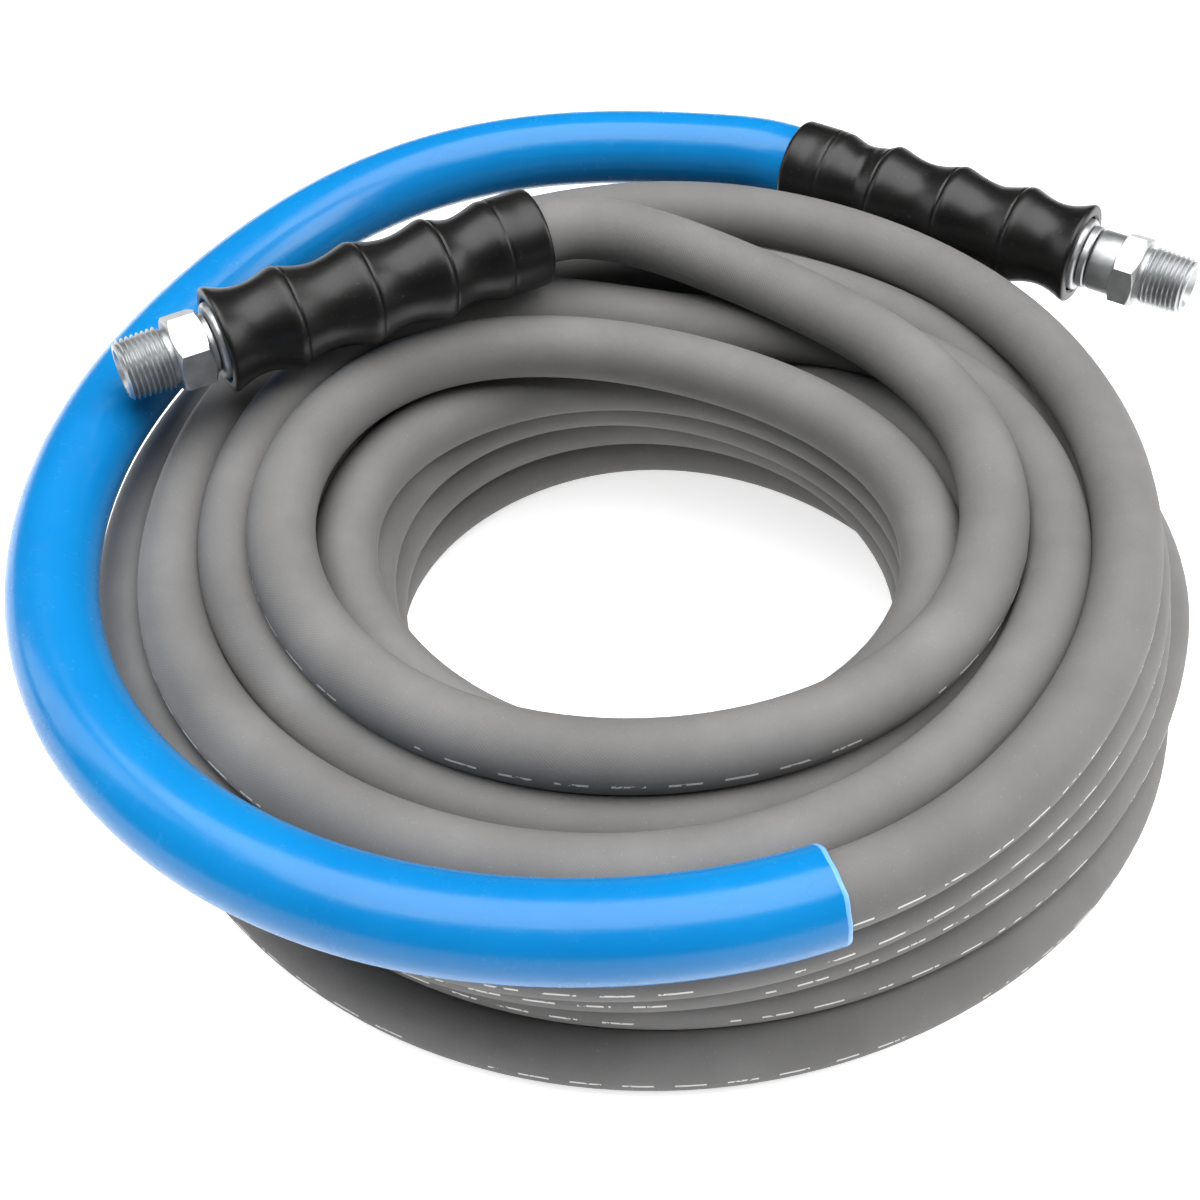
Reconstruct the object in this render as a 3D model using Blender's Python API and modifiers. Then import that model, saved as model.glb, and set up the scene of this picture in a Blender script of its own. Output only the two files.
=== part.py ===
"""Grey rubber pressure washer hose of 3/8 inch bore, coiled in a loose stack of 20 turns.

The inlet end has a fixed hex fitting. The outlet end has a swivel fitting, and a blue sleeve
over the hose. +Z is up, the coil lies on Z = 0, and the origin is under the middle of the
whole footprint.
"""

import math

import bmesh
import bpy
import numpy as np
from mathutils import Matrix, Vector

# Hose
HOSE_OD = 0.0174
HOSE_BORE = 0.0095
TOUCH_GAP = 0.0003
HOSE_BEVEL_STEPS = 2
ROUTE_STEP = 0.0285
SPLINE_POINTS = 3000

# Coil: the turned ring of wound turns, which leans a little
COIL_BASE = Vector((0.0025, 0.0084, 0.0))
COIL_LEAN = (-0.068, -0.240)
INNER_TURN_RADIUS = 0.0880
COLUMN_PITCH = 0.0177
COLUMNS = 4
ROW_SHIFTS = (0.0, -0.0105, -0.0110, -0.0115)
TOP_TURN_RADIUS = 0.1065
TOP_TURN_DROP = 0.0011
TURN_ARC_STEPS = 5
FLOOR_FLAT_ANGLE = 12.0
COIL_STEPS = 36

# Blue sleeve over the outlet end of the hose
SLEEVE_OD = 0.0226
SLEEVE_WALL = 0.0016
SLEEVE_START_ANGLE = -72.8
SLEEVE_BEVEL_STEPS = 4

# Bend restrictors: ribbed rubber boots over both hose ends
BOOT_LENGTH = 0.0940
BOOT_FLANGE_OD = 0.0290
BOOT_FLANGE_WIDTH = 0.0062
BOOT_ROUND_OVER = 0.0018
BOOT_RIDGE_OD = 0.0285
BOOT_NECK_OD = 0.0242
BOOT_RIDGES = 3
BOOT_RIDGE_PITCH = 0.0216
BOOT_FIRST_RIDGE = 0.0194
BOOT_RIDGE_SHARPNESS = 1.4
BOOT_CUFF_OD = 0.0278
BOOT_CUFF_LENGTH = 0.0160
BOOT_PROFILE_STEP = 0.0027
BOOT_STEPS = 24
BOOT_RUN_OUT = 0.0060
BOOT_RUN_POINTS = 5

# Crimped ferrules
FERRULE_OD = 0.0212
FERRULE_LENGTH = 0.0300
FERRULE_PROUD = 0.0012
FERRULE_END_WALL = 0.0020
CRIMP_GROOVES = 3
CRIMP_DEPTH = 0.0006
CRIMP_FIRST = 0.0060
CRIMP_MARGIN = 0.0080
CRIMP_TOP_SHARE = 0.70
CRIMP_FLOOR_SHARE = 0.30
FERRULE_CHAMFER = 0.0006
TURNED_STEPS = 24

# Threaded ends: 3/8 inch taper pipe thread
THREAD_OD = 0.0171
THREAD_TAPER = 1.0 / 16.0
THREAD_CHAMFER = 0.0010
THREAD_LENGTH = 0.0125
RELIEF_OD = 0.0148
RELIEF_LENGTH = 0.0012
FLOW_BORE = 0.0064
COUNTERSINK = 0.0026
HEX_ACROSS_FLATS = 0.0190
HEX_CHAMFER_OD = 0.0206
HEX_CHAMFER_SLOPE = 0.8
HEX_FACE_INSET = 0.0002
INLET_HEX_LENGTH = 0.0092
OUTLET_HEX_LENGTH = 0.0072
INSERT_LENGTH = 0.0260
INSERT_CHAMFER = 0.0010
INSERT_OD = HOSE_BORE - 2.0 * TOUCH_GAP
SHOULDER_OD = 0.0160
SHOULDER_LENGTH = 0.0016
HEX_JOINT_DEPTH = 0.0010
WATER_WAY_DEPTH = 0.0400
WATER_WAY_STEPS = 16
CUT_OVERRUN = 0.0020

# Swivel of the outlet end
COLLAR_OD = 0.0182
COLLAR_LENGTH = 0.0022
SWIVEL_CLEARANCE = 0.0004
NECK_OD = 0.0112
HEAD_OD = 0.0134
HEAD_LENGTH = 0.0022
CUP_OD = 0.0176
CUP_LENGTH = 0.0072
CUP_LIP = 0.0026
CUP_CHAMFER = 0.0008
COLLAR_CHAMFER = 0.0004

# Level of the free hose over the coil, and the middle of the turns at that level
TOP_HEIGHT = 0.0768
TOP_CENTRE = COIL_BASE + Vector((*COIL_LEAN, 0.0)) * TOP_HEIGHT

# Each row below is a bearing in degrees about the middle of the top turns, the distance outwards
# from the coil's top turn, and the height above the level of the top turns. The ends lie where
# their boots' cuffs have their mouths, and point towards their flange faces.
INLET_CUFF = (107.89, -0.02356, 0.0220)
INLET_FLANGE_TOWARDS = (161.09, 0.00901, 0.0221)
OUTLET_CUFF = (68.53, 0.04462, 0.0011)
OUTLET_FLANGE_TOWARDS = (33.36, 0.05324, 0.0028)

# Routes of the free hose, from the boots to where they join the wound turns
INLET_ROUTE = (
    (97.0, -0.0184, 0.0204),
    (82.0, -0.0156, 0.0160),
    (64.5, -0.0170, 0.0100),
    (43.0, -0.0180, 0.0044),
    (20.0, -0.0179, 0.0012),
    (0.0, -0.0179, 0.0),
    (-22.0, -0.0179, 0.0),
    (-44.0, -0.0179, 0.0),
    (-66.0, -0.0179, 0.0),
    (-88.0, -0.0179, 0.0),
    (-110.0, -0.0179, 0.0),
    (-132.0, -0.0179, 0.0),
    (-154.0, -0.0179, 0.0),
    (-176.0, -0.0181, 0.0),
    (-196.0, -0.0183, 0.0),
)
OUTLET_ROUTE = (
    (-280.0, 0.0476, 0.0008),
    (-266.2, 0.0488, 0.0009),
    (-255.0, 0.0488, 0.0012),
    (-244.0, 0.0473, 0.0015),
    (-233.0, 0.0443, 0.0020),
    (-222.0, 0.0412, 0.0025),
    (-211.0, 0.0396, 0.0030),
    (-200.0, 0.0392, 0.0030),
    (-182.3, 0.0407, 0.0025),
    (-165.6, 0.0431, 0.0022),
    (-148.8, 0.0427, 0.0022),
    (-130.8, 0.0383, 0.0022),
    (-112.6, 0.0337, 0.0021),
    (-94.0, 0.0290, 0.0018),
    (-79.0, 0.0272, 0.0016),
    (-65.4, 0.0250, 0.0012),
    (-43.0, 0.0212, -0.0001),
    (-21.0, 0.0197, -0.0008),
    (2.0, 0.0191, -0.0013),
    (25.0, 0.0189, -0.0022),
    (48.0, 0.0190, -0.0029),
    (71.0, 0.0190, -0.0029),
    (94.0, 0.0191, -0.0027),
    (117.0, 0.0191, -0.0023),
    (140.0, 0.0193, -0.0018),
    (163.0, 0.0194, -0.0013),
)

HOSE_R = HOSE_OD / 2.0
BORE_R = HOSE_BORE / 2.0

# Distances that weld points: on a turned part's axis, and along the seams of a finished part
AXIS_WELD = 0.00001
SEAM_WELD = 0.000002


def clear_scene():
    """Remove every object of the scene."""
    for old in list(bpy.data.objects):
        bpy.data.objects.remove(old, do_unlink=True)


def new_collection(name):
    """Add a collection to the scene."""
    made = bpy.data.collections.new(name)
    bpy.context.scene.collection.children.link(made)
    return made


def material(name, colour, roughness, metallic):
    """Principled material of one colour."""
    made = bpy.data.materials.new(name)
    made.use_nodes = True
    shader = made.node_tree.nodes["Principled BSDF"]
    shader.inputs["Base Color"].default_value = (*colour, 1.0)
    shader.inputs["Roughness"].default_value = roughness
    shader.inputs["Metallic"].default_value = metallic
    made.diffuse_color = (*colour, 1.0)
    return made


def add_object(name, data, where, finish=None):
    """Link an object to a collection and give it a material."""
    made = bpy.data.objects.new(name, data)
    where.objects.link(made)
    if finish is not None:
        data.materials.clear()
        data.materials.append(finish)
    return made


def shade(thing, degrees=35.0):
    """Shade smooth, with edges above the angle kept sharp."""
    thing.data.shade_smooth()
    thing.data.set_sharp_from_angle(angle=math.radians(degrees))


def evaluated_mesh(thing):
    """Mesh of an object with its modifiers or bevel, as the viewport shows it."""
    graph = bpy.context.evaluated_depsgraph_get()
    graph.update()
    return bpy.data.meshes.new_from_object(thing.evaluated_get(graph))


def turned(name, profile, steps, where, finish=None):
    """Turn a profile about Z. Its (radius, height) points go down the outer side from the top."""
    points = [(radius, 0.0, height) for radius, height in profile]
    closed = profile[0][0] > 0.0
    links = [(i, i + 1) for i in range(len(points) - 1)]
    if closed:
        links.append((len(points) - 1, 0))
    mesh = bpy.data.meshes.new(name)
    mesh.from_pydata(points, links, [])
    made = add_object(name, mesh, where, finish)
    screw = made.modifiers.new("turn", "SCREW")
    screw.steps = steps
    screw.render_steps = steps
    screw.use_merge_vertices = True
    screw.merge_threshold = AXIS_WELD
    screw.use_smooth_shade = False
    return made


def baked(thing, name, where, finish):
    """Replace an object by its evaluated mesh, with loose doubles welded."""
    mesh = evaluated_mesh(thing)
    place = thing.matrix_world.copy()
    bpy.data.objects.remove(thing, do_unlink=True)
    work = bmesh.new()
    work.from_mesh(mesh)
    bmesh.ops.remove_doubles(work, verts=work.verts, dist=SEAM_WELD)
    bmesh.ops.recalc_face_normals(work, faces=work.faces)
    work.to_mesh(mesh)
    work.free()
    mesh.name = name
    made = add_object(name, mesh, where, finish)
    made.matrix_world = place
    return made


def join_or_cut(thing, tool, operation):
    """Add a Boolean modifier and hide its tool."""
    step = thing.modifiers.new(operation.lower(), "BOOLEAN")
    step.operation = operation
    step.solver = "EXACT"
    step.object = tool
    tool.hide_render = True
    tool.display_type = "WIRE"


def place_along(thing, origin, direction):
    """Put the object's origin at a point, with its +Z along a direction."""
    turn = direction.to_track_quat("Z", "Y")
    thing.matrix_world = Matrix.Translation(origin) @ turn.to_matrix().to_4x4()


def smooth_path(points):
    """Dense points of a natural cubic spline through the route, spaced by its chord lengths."""
    knots = np.array([tuple(point) for point in points])
    chords = np.linalg.norm(np.diff(knots, axis=0), axis=1)
    along = np.concatenate([[0.0], np.cumsum(chords)])
    count = len(knots)
    system = np.eye(count)
    right = np.zeros_like(knots)
    for i in range(1, count - 1):
        before, after = chords[i - 1], chords[i]
        system[i, i - 1:i + 2] = (before, 2.0 * (before + after), after)
        slope = (knots[i + 1] - knots[i]) / after - (knots[i] - knots[i - 1]) / before
        right[i] = 6.0 * slope
    bend = np.linalg.solve(system, right)
    places = np.linspace(0.0, along[-1], SPLINE_POINTS)
    span = np.clip(np.searchsorted(along, places, side="right") - 1, 0, count - 2)
    gap = chords[span][:, None]
    low = ((along[span + 1] - places)[:, None]) / gap
    high = 1.0 - low
    line = low * knots[span] + high * knots[span + 1]
    curve = (low ** 3 - low) * bend[span] + (high ** 3 - high) * bend[span + 1]
    return line + curve * gap ** 2 / 6.0


def path_lengths(path):
    """Distance along a path at each of its points."""
    return np.concatenate([[0.0], np.cumsum(np.linalg.norm(np.diff(path, axis=0), axis=1))])


def spaced(path, start, stop, step):
    """Evenly spaced points of a path between two distances along it."""
    along = path_lengths(path)
    count = max(3, int(math.ceil((stop - start) / step)) + 1)
    wanted = np.linspace(start, stop, count)
    return np.stack([np.interp(wanted, along, path[:, axis]) for axis in range(3)], axis=1)


def tube(name, points, radius, level, capped, where):
    """Tube with a round bevel along a poly spline."""
    curve = bpy.data.curves.new(name, "CURVE")
    curve.dimensions = "3D"
    curve.bevel_depth = radius
    curve.bevel_resolution = int(level)
    curve.use_fill_caps = capped
    curve.twist_mode = "MINIMUM"
    spline = curve.splines.new("POLY")
    spline.points.add(len(points) - 1)
    for place, point in zip(spline.points, points):
        place.co = (*point, 1.0)
    return add_object(name, curve, where)


def on_top(degrees, outwards, rise):
    """Point over the coil: its bearing, and how far out and up it is from the top turns."""
    angle = math.radians(degrees)
    flat = Vector((math.cos(angle), math.sin(angle), 0.0)) * (TOP_TURN_RADIUS + outwards)
    return TOP_CENTRE + flat + Vector((0.0, 0.0, TOP_HEIGHT + rise))


def row_heights():
    """Heights of the centres of the turns, row by row, from the floor to under the top turn."""
    lowest = HOSE_R * math.cos(math.radians(FLOOR_FLAT_ANGLE))
    highest = TOP_HEIGHT - TOP_TURN_DROP - HOSE_OD
    return [float(height) for height in np.linspace(lowest, highest, len(ROW_SHIFTS))]


def outline_turns():
    """Centres of the turns that bound the coil's section, from the top inner one outwards."""
    heights = row_heights()
    reach = [INNER_TURN_RADIUS + shift for shift in ROW_SHIFTS]
    outer = COLUMN_PITCH * (COLUMNS - 1)
    last = len(heights) - 1
    top_turn = (TOP_TURN_RADIUS, heights[last] + HOSE_OD)
    top = [(reach[last] + COLUMN_PITCH * column, heights[last]) for column in range(COLUMNS)]
    beyond = [turn for turn in top if turn[0] > TOP_TURN_RADIUS]
    within = [turn for turn in top if turn[0] < TOP_TURN_RADIUS]
    side = [(reach[row] + outer, heights[row]) for row in range(last - 1, 0, -1)]
    floor = [(reach[0] + COLUMN_PITCH * column, heights[0]) for column in range(COLUMNS - 1, -1, -1)]
    inner = [(reach[row], heights[row]) for row in range(1, last)]
    return [top_turn] + beyond + side + floor + inner + within


def arc_angles(start, stop):
    """Angles down round a turn, in equal steps."""
    steps = max(2, round(TURN_ARC_STEPS * (start - stop) / math.pi))
    return list(np.linspace(start, stop, steps + 1))


def pressed_angle(distance):
    """Half the angle of a turn that is pressed into its neighbour at a distance."""
    return math.acos(min(1.0, distance / HOSE_OD))


def coil_section():
    """Outline of the coil's section: an arc round each outer turn, clockwise from the top.

    Where two turns are pressed together, their arcs meet on the line between them. A turn on
    the floor is pressed a little flat under the weight of the coil.
    """
    turns = outline_turns()
    floor_height = row_heights()[0]
    flat = math.radians(FLOOR_FLAT_ANGLE)
    outline = []
    for i, (radius, height) in enumerate(turns):
        before = turns[i - 1]
        after = turns[(i + 1) % len(turns)]
        start = math.atan2(before[1] - height, before[0] - radius)
        stop = math.atan2(after[1] - height, after[0] - radius)
        stop = start - (start - stop) % (2.0 * math.pi)
        start -= pressed_angle(math.dist(before, (radius, height)))
        stop += pressed_angle(math.dist(after, (radius, height)))
        angles = arc_angles(start, stop)
        if height == floor_height:
            bottom = -math.pi / 2.0
            angles = arc_angles(start, bottom + flat) + arc_angles(bottom - flat, stop)
        for angle in angles:
            point = (radius + HOSE_R * math.cos(angle), height + HOSE_R * math.sin(angle))
            if not outline or math.dist(point, outline[-1]) > AXIS_WELD:
                outline.append(point)
    if math.dist(outline[0], outline[-1]) <= AXIS_WELD:
        outline.pop()
    return outline


def make_coil(where, finish):
    """Ring of wound turns, turned about its axis, then leant over."""
    ring = turned("ring_of_turns", coil_section(), COIL_STEPS, where)
    made = baked(ring, "hose_coil", where, finish)
    lean = Matrix.Identity(4)
    lean[0][2] = COIL_LEAN[0]
    lean[1][2] = COIL_LEAN[1]
    made.data.transform(lean)
    made.location = COIL_BASE
    shade(made, 50.0)
    return made


class HoseEnd:
    """Frame of one hose end: the boot's flange face and the way the fitting points."""

    def __init__(self, cuff, towards):
        self.direction = (towards - cuff).normalized()
        self.cuff = cuff
        self.face = cuff + self.direction * BOOT_LENGTH

    def point(self, distance):
        """Point on the axis, measured outwards from the boot's flange face."""
        return self.face + self.direction * distance


def hose_cut_back():
    """Distance from the flange face back to the cut end of the hose."""
    return FERRULE_END_WALL - FERRULE_PROUD + TOUCH_GAP


def bored_end(thing, end, where, cutters, finish):
    """Give the hose end its bore, as deep as the fitting's insert needs."""
    name = thing.name
    thing.name = name + "_route"
    made = baked(thing, name, where, finish)
    depth = INSERT_LENGTH + TOUCH_GAP
    bottom = -hose_cut_back() - depth
    profile = [(0.0, CUT_OVERRUN), (BORE_R, CUT_OVERRUN), (BORE_R, bottom), (0.0, bottom)]
    cutter = turned(name + "_bore", profile, WATER_WAY_STEPS, cutters)
    place_along(cutter, end.face, end.direction)
    join_or_cut(made, cutter, "DIFFERENCE")
    shade(made, 60.0)
    return made


def boot_outline():
    """Outer side of a boot from its flange face down: flange, ridges, necks and cuff."""
    neck = BOOT_NECK_OD / 2.0
    ridge = BOOT_RIDGE_OD / 2.0
    cuff = BOOT_CUFF_OD / 2.0
    flange = BOOT_FLANGE_OD / 2.0
    round_over = BOOT_ROUND_OVER
    points = [(flange - round_over, 0.0), (flange, -round_over)]
    points.append((flange, -BOOT_FLANGE_WIDTH + round_over))
    last_ridge = BOOT_FIRST_RIDGE + BOOT_RIDGE_PITCH * (BOOT_RIDGES - 1)
    cuff_start = BOOT_LENGTH - BOOT_CUFF_LENGTH
    first = BOOT_FLANGE_WIDTH + round_over
    stations = np.arange(first, cuff_start, BOOT_PROFILE_STEP)
    for distance in stations:
        phase = (distance - BOOT_FIRST_RIDGE) / BOOT_RIDGE_PITCH
        swell = 0.5 + 0.5 * math.cos(2.0 * math.pi * phase)
        if distance > last_ridge + BOOT_RIDGE_PITCH / 2.0:
            swell = 0.0
        if distance < BOOT_FIRST_RIDGE - BOOT_RIDGE_PITCH / 2.0:
            swell = 0.0
        points.append((neck + (ridge - neck) * swell ** BOOT_RIDGE_SHARPNESS, -distance))
    points.append((cuff, -cuff_start - round_over))
    points.append((cuff, -BOOT_LENGTH + round_over / 2.0))
    points.append((cuff - round_over / 2.0, -BOOT_LENGTH))
    return points


def make_boot(name, end, where, finish):
    """Ribbed rubber boot, bored for the hose and counterbored for the ferrule."""
    hose_hole = HOSE_R + TOUCH_GAP
    ferrule_hole = FERRULE_OD / 2.0 + TOUCH_GAP
    shelf = -(FERRULE_LENGTH - FERRULE_PROUD) - TOUCH_GAP
    inner = [(hose_hole, -BOOT_LENGTH), (hose_hole, shelf), (ferrule_hole, shelf), (ferrule_hole, 0.0)]
    made = turned(name, boot_outline() + inner, BOOT_STEPS, where, finish)
    place_along(made, end.face, end.direction)
    shade_turned(made)
    return made


def shade_turned(thing, degrees=40.0):
    """Bake a turned object and shade it smooth with its sharp edges kept."""
    name = thing.name
    finish = thing.data.materials[0]
    where = thing.users_collection[0]
    thing.name = name + "_profile"
    made = baked(thing, name, where, finish)
    shade(made, degrees)
    return made


def make_ferrule(name, end, where, finish):
    """Crimped steel shell round the hose end, with a closed collar against the fitting."""
    outer = FERRULE_OD / 2.0
    inner = HOSE_R + TOUCH_GAP
    hole = INSERT_OD / 2.0 + TOUCH_GAP
    top = FERRULE_PROUD
    bottom = top - FERRULE_LENGTH
    profile = [(outer - FERRULE_CHAMFER, top), (outer, top - FERRULE_CHAMFER)]
    pitch = (FERRULE_LENGTH - CRIMP_MARGIN) / CRIMP_GROOVES
    wide, narrow = pitch * CRIMP_TOP_SHARE / 2.0, pitch * CRIMP_FLOOR_SHARE / 2.0
    for groove in range(CRIMP_GROOVES):
        middle = top - CRIMP_FIRST - pitch * (groove + 0.5)
        profile.append((outer, middle + wide))
        profile.append((outer - CRIMP_DEPTH, middle + narrow))
        profile.append((outer - CRIMP_DEPTH, middle - narrow))
        profile.append((outer, middle - wide))
    profile += [(outer, bottom), (inner, bottom), (inner, top - FERRULE_END_WALL)]
    profile += [(hole, top - FERRULE_END_WALL), (hole, top)]
    made = turned(name, profile, TURNED_STEPS, where, finish)
    place_along(made, end.face, end.direction)
    return shade_turned(made)


def thread_profile(base):
    """Outer side of a tapered male thread that stands on a height, from its tip down."""
    root = THREAD_OD / 2.0
    tip = root - THREAD_LENGTH * THREAD_TAPER / 2.0
    top = base + RELIEF_LENGTH + THREAD_LENGTH
    start = base + RELIEF_LENGTH
    relief = RELIEF_OD / 2.0
    chamfer = THREAD_CHAMFER
    outer = [(tip - chamfer, top), (tip, top - chamfer), (root, start + chamfer / 2.0)]
    return outer + [(relief, start), (relief, base)]


def bore_cutter(name, top, bottom, end, cutters):
    """Water way along a fitting, with a countersink at the tip."""
    wide = FLOW_BORE / 2.0 + COUNTERSINK
    narrow = FLOW_BORE / 2.0
    profile = [(0.0, top + COUNTERSINK), (wide + COUNTERSINK, top + COUNTERSINK)]
    profile += [(narrow, top - COUNTERSINK), (narrow, bottom), (0.0, bottom)]
    made = turned(name, profile, TURNED_STEPS, cutters)
    place_along(made, end.face, end.direction)
    return made


def hex_block(name, bottom, length, end, cutters):
    """Hexagon with both its ends chamfered."""
    mesh = bpy.data.meshes.new(name)
    work = bmesh.new()
    across_corners = HEX_ACROSS_FLATS / math.cos(math.pi / 6.0)
    half = across_corners / 2.0
    lift = Matrix.Translation((0.0, 0.0, bottom + length / 2.0))
    bmesh.ops.create_cone(work, cap_ends=True, segments=6, radius1=half, radius2=half,
                          depth=length, matrix=lift)
    work.to_mesh(mesh)
    work.free()
    block = add_object(name, mesh, cutters)
    drop = (half - HEX_CHAMFER_OD / 2.0) * HEX_CHAMFER_SLOPE
    flat = HEX_ACROSS_FLATS / 2.0 - HEX_FACE_INSET
    beyond = half + CUT_OVERRUN / 2.0
    profile = [(0.0, bottom + length), (flat, bottom + length)]
    profile += [(beyond, bottom + length - drop), (beyond, bottom + drop)]
    profile += [(flat, bottom), (0.0, bottom)]
    chamfer = turned(name + "_chamfer", profile, TURNED_STEPS, cutters)
    place_along(block, end.face, end.direction)
    place_along(chamfer, end.face, end.direction)
    join_or_cut(block, chamfer, "INTERSECT")
    return block


def insert_profile():
    """Outer side of the insert inside the hose bore, from its shoulder down."""
    radius = INSERT_OD / 2.0
    start = FERRULE_PROUD + TOUCH_GAP
    stop = -hose_cut_back() - INSERT_LENGTH
    chamfer = INSERT_CHAMFER
    return [(radius, start), (radius, stop + chamfer), (radius - chamfer, stop), (0.0, stop)]


def make_inlet_stem(end, where, cutters, finish):
    """Fixed fitting of the inlet: insert, shoulder, hexagon and taper thread in one piece."""
    base = FERRULE_PROUD + TOUCH_GAP
    hex_bottom = base + SHOULDER_LENGTH
    hex_top = hex_bottom + INLET_HEX_LENGTH
    shoulder = SHOULDER_OD / 2.0
    profile = [(0.0, hex_top + RELIEF_LENGTH + THREAD_LENGTH)]
    profile += thread_profile(hex_top)[:-1]
    inside = hex_top - HEX_JOINT_DEPTH
    profile += [(RELIEF_OD / 2.0, inside), (shoulder, inside)]
    profile += [(shoulder, base)] + insert_profile()
    rod = turned("inlet_stem_rod", profile, TURNED_STEPS, where)
    place_along(rod, end.face, end.direction)
    block = hex_block("inlet_hex", hex_bottom, INLET_HEX_LENGTH, end, cutters)
    join_or_cut(rod, block, "UNION")
    top = hex_top + RELIEF_LENGTH + THREAD_LENGTH
    bore = bore_cutter("inlet_water_way", top, -WATER_WAY_DEPTH, end, cutters)
    join_or_cut(rod, bore, "DIFFERENCE")
    made = baked(rod, "stem_inlet", where, finish)
    shade(made, 30.0)
    return made


def make_outlet_stem(end, where, cutters, finish):
    """Inner half of the swivel: insert, collar, neck and the head that the nut turns on."""
    base = FERRULE_PROUD + TOUCH_GAP
    collar_top = base + COLLAR_LENGTH
    neck_top = collar_top + SWIVEL_CLEARANCE + CUP_LIP + SWIVEL_CLEARANCE
    head_top = neck_top + HEAD_LENGTH
    neck, head, collar = NECK_OD / 2.0, HEAD_OD / 2.0, COLLAR_OD / 2.0
    edge = COLLAR_CHAMFER
    profile = [(0.0, head_top), (head - edge, head_top), (head, head_top - edge)]
    profile += [(head, neck_top), (neck, neck_top), (neck, collar_top)]
    profile += [(collar - edge, collar_top), (collar, collar_top - edge), (collar, base)]
    profile += insert_profile()
    rod = turned("outlet_stem_rod", profile, TURNED_STEPS, where)
    place_along(rod, end.face, end.direction)
    mouth = head_top + CUT_OVERRUN
    hole = [(0.0, mouth), (FLOW_BORE / 2.0, mouth)]
    hole += [(FLOW_BORE / 2.0, -WATER_WAY_DEPTH), (0.0, -WATER_WAY_DEPTH)]
    bore = turned("outlet_stem_water_way", hole, TURNED_STEPS, cutters)
    place_along(bore, end.face, end.direction)
    join_or_cut(rod, bore, "DIFFERENCE")
    made = baked(rod, "stem_outlet", where, finish)
    shade(made, 30.0)
    return made


def make_swivel(end, where, cutters, finish):
    """Outer half of the swivel: cup, hexagon and taper thread in one piece, free to turn."""
    start = FERRULE_PROUD + TOUCH_GAP + COLLAR_LENGTH + SWIVEL_CLEARANCE
    cup_top = start + CUP_LENGTH
    hex_top = cup_top + OUTLET_HEX_LENGTH
    thread_top = hex_top + RELIEF_LENGTH + THREAD_LENGTH
    cup = CUP_OD / 2.0
    profile = [(0.0, thread_top)] + thread_profile(hex_top)[:-1]
    inside = hex_top - HEX_JOINT_DEPTH
    profile += [(RELIEF_OD / 2.0, inside), (cup, inside)]
    profile += [(cup, start + CUP_CHAMFER), (cup - CUP_CHAMFER, start), (0.0, start)]
    rod = turned("swivel_rod", profile, TURNED_STEPS, where)
    place_along(rod, end.face, end.direction)
    block = hex_block("outlet_hex", cup_top, OUTLET_HEX_LENGTH, end, cutters)
    join_or_cut(rod, block, "UNION")
    bore = bore_cutter("outlet_water_way", thread_top, start - CUT_OVERRUN, end, cutters)
    join_or_cut(rod, bore, "DIFFERENCE")
    lip_hole = NECK_OD / 2.0 + SWIVEL_CLEARANCE
    room = HEAD_OD / 2.0 + SWIVEL_CLEARANCE
    lip_top = start + CUP_LIP
    room_top = lip_top + SWIVEL_CLEARANCE + HEAD_LENGTH + SWIVEL_CLEARANCE
    hollow = [(0.0, room_top), (room, room_top), (room, lip_top), (lip_hole, lip_top)]
    hollow += [(lip_hole, start - CUT_OVERRUN), (0.0, start - CUT_OVERRUN)]
    pocket = turned("swivel_pocket", hollow, TURNED_STEPS, cutters)
    place_along(pocket, end.face, end.direction)
    join_or_cut(rod, pocket, "DIFFERENCE")
    made = baked(rod, "swivel_nut", where, finish)
    shade(made, 30.0)
    return made


def boot_run(end):
    """Points on the axis from the cut end of the hose to just outside the boot's cuff."""
    stations = np.linspace(-hose_cut_back(), -BOOT_LENGTH - BOOT_RUN_OUT, BOOT_RUN_POINTS)
    return [end.point(float(station)) for station in stations]


def lead_path(end, route):
    """Smooth line from the cut end of the hose, out of its boot and along a route."""
    return smooth_path(boot_run(end) + [on_top(*station) for station in route])


def lead_points(end, route):
    """Points of a free hose: straight inside its boot, then evenly spaced along the smooth line."""
    path = lead_path(end, route)
    run = boot_run(end)
    mouth = (run[-1] - run[0]).length
    outside = spaced(path, mouth, path_lengths(path)[-1], ROUTE_STEP)
    return np.vstack([[tuple(point) for point in run], outside[1:]])


def make_lead(name, end, route, where, cutters, finish):
    """Free hose from a boot over the top of the coil."""
    line = tube(name, lead_points(end, route), HOSE_R, HOSE_BEVEL_STEPS, True, where)
    return bored_end(line, end, where, cutters, finish)


def make_sleeve(end, where, finish):
    """Plastic sleeve round the outlet hose, from the boot's cuff to its own open end."""
    line = lead_points(end, OUTLET_ROUTE)
    bearing = np.unwrap(np.arctan2(line[:, 1] - TOP_CENTRE.y, line[:, 0] - TOP_CENTRE.x))
    wanted = math.radians(SLEEVE_START_ANGLE) % (2.0 * math.pi)
    inside = line[(bearing < wanted) & (np.arange(len(line)) >= BOOT_RUN_POINTS - 1)]
    open_end = [np.interp(wanted, bearing, line[:, axis]) for axis in range(3)]
    cuff_end = tuple(end.point(-BOOT_LENGTH - TOUCH_GAP))
    points = np.vstack([[cuff_end], inside, [open_end]])
    skin = tube("sleeve_skin", points, SLEEVE_OD / 2.0, SLEEVE_BEVEL_STEPS, False, where)
    made = baked(skin, "abrasion_sleeve", where, finish)
    wall = made.modifiers.new("wall", "SOLIDIFY")
    wall.thickness = SLEEVE_WALL
    wall.offset = -1.0
    wall.use_even_offset = True
    shade(made, 60.0)
    return made


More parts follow.
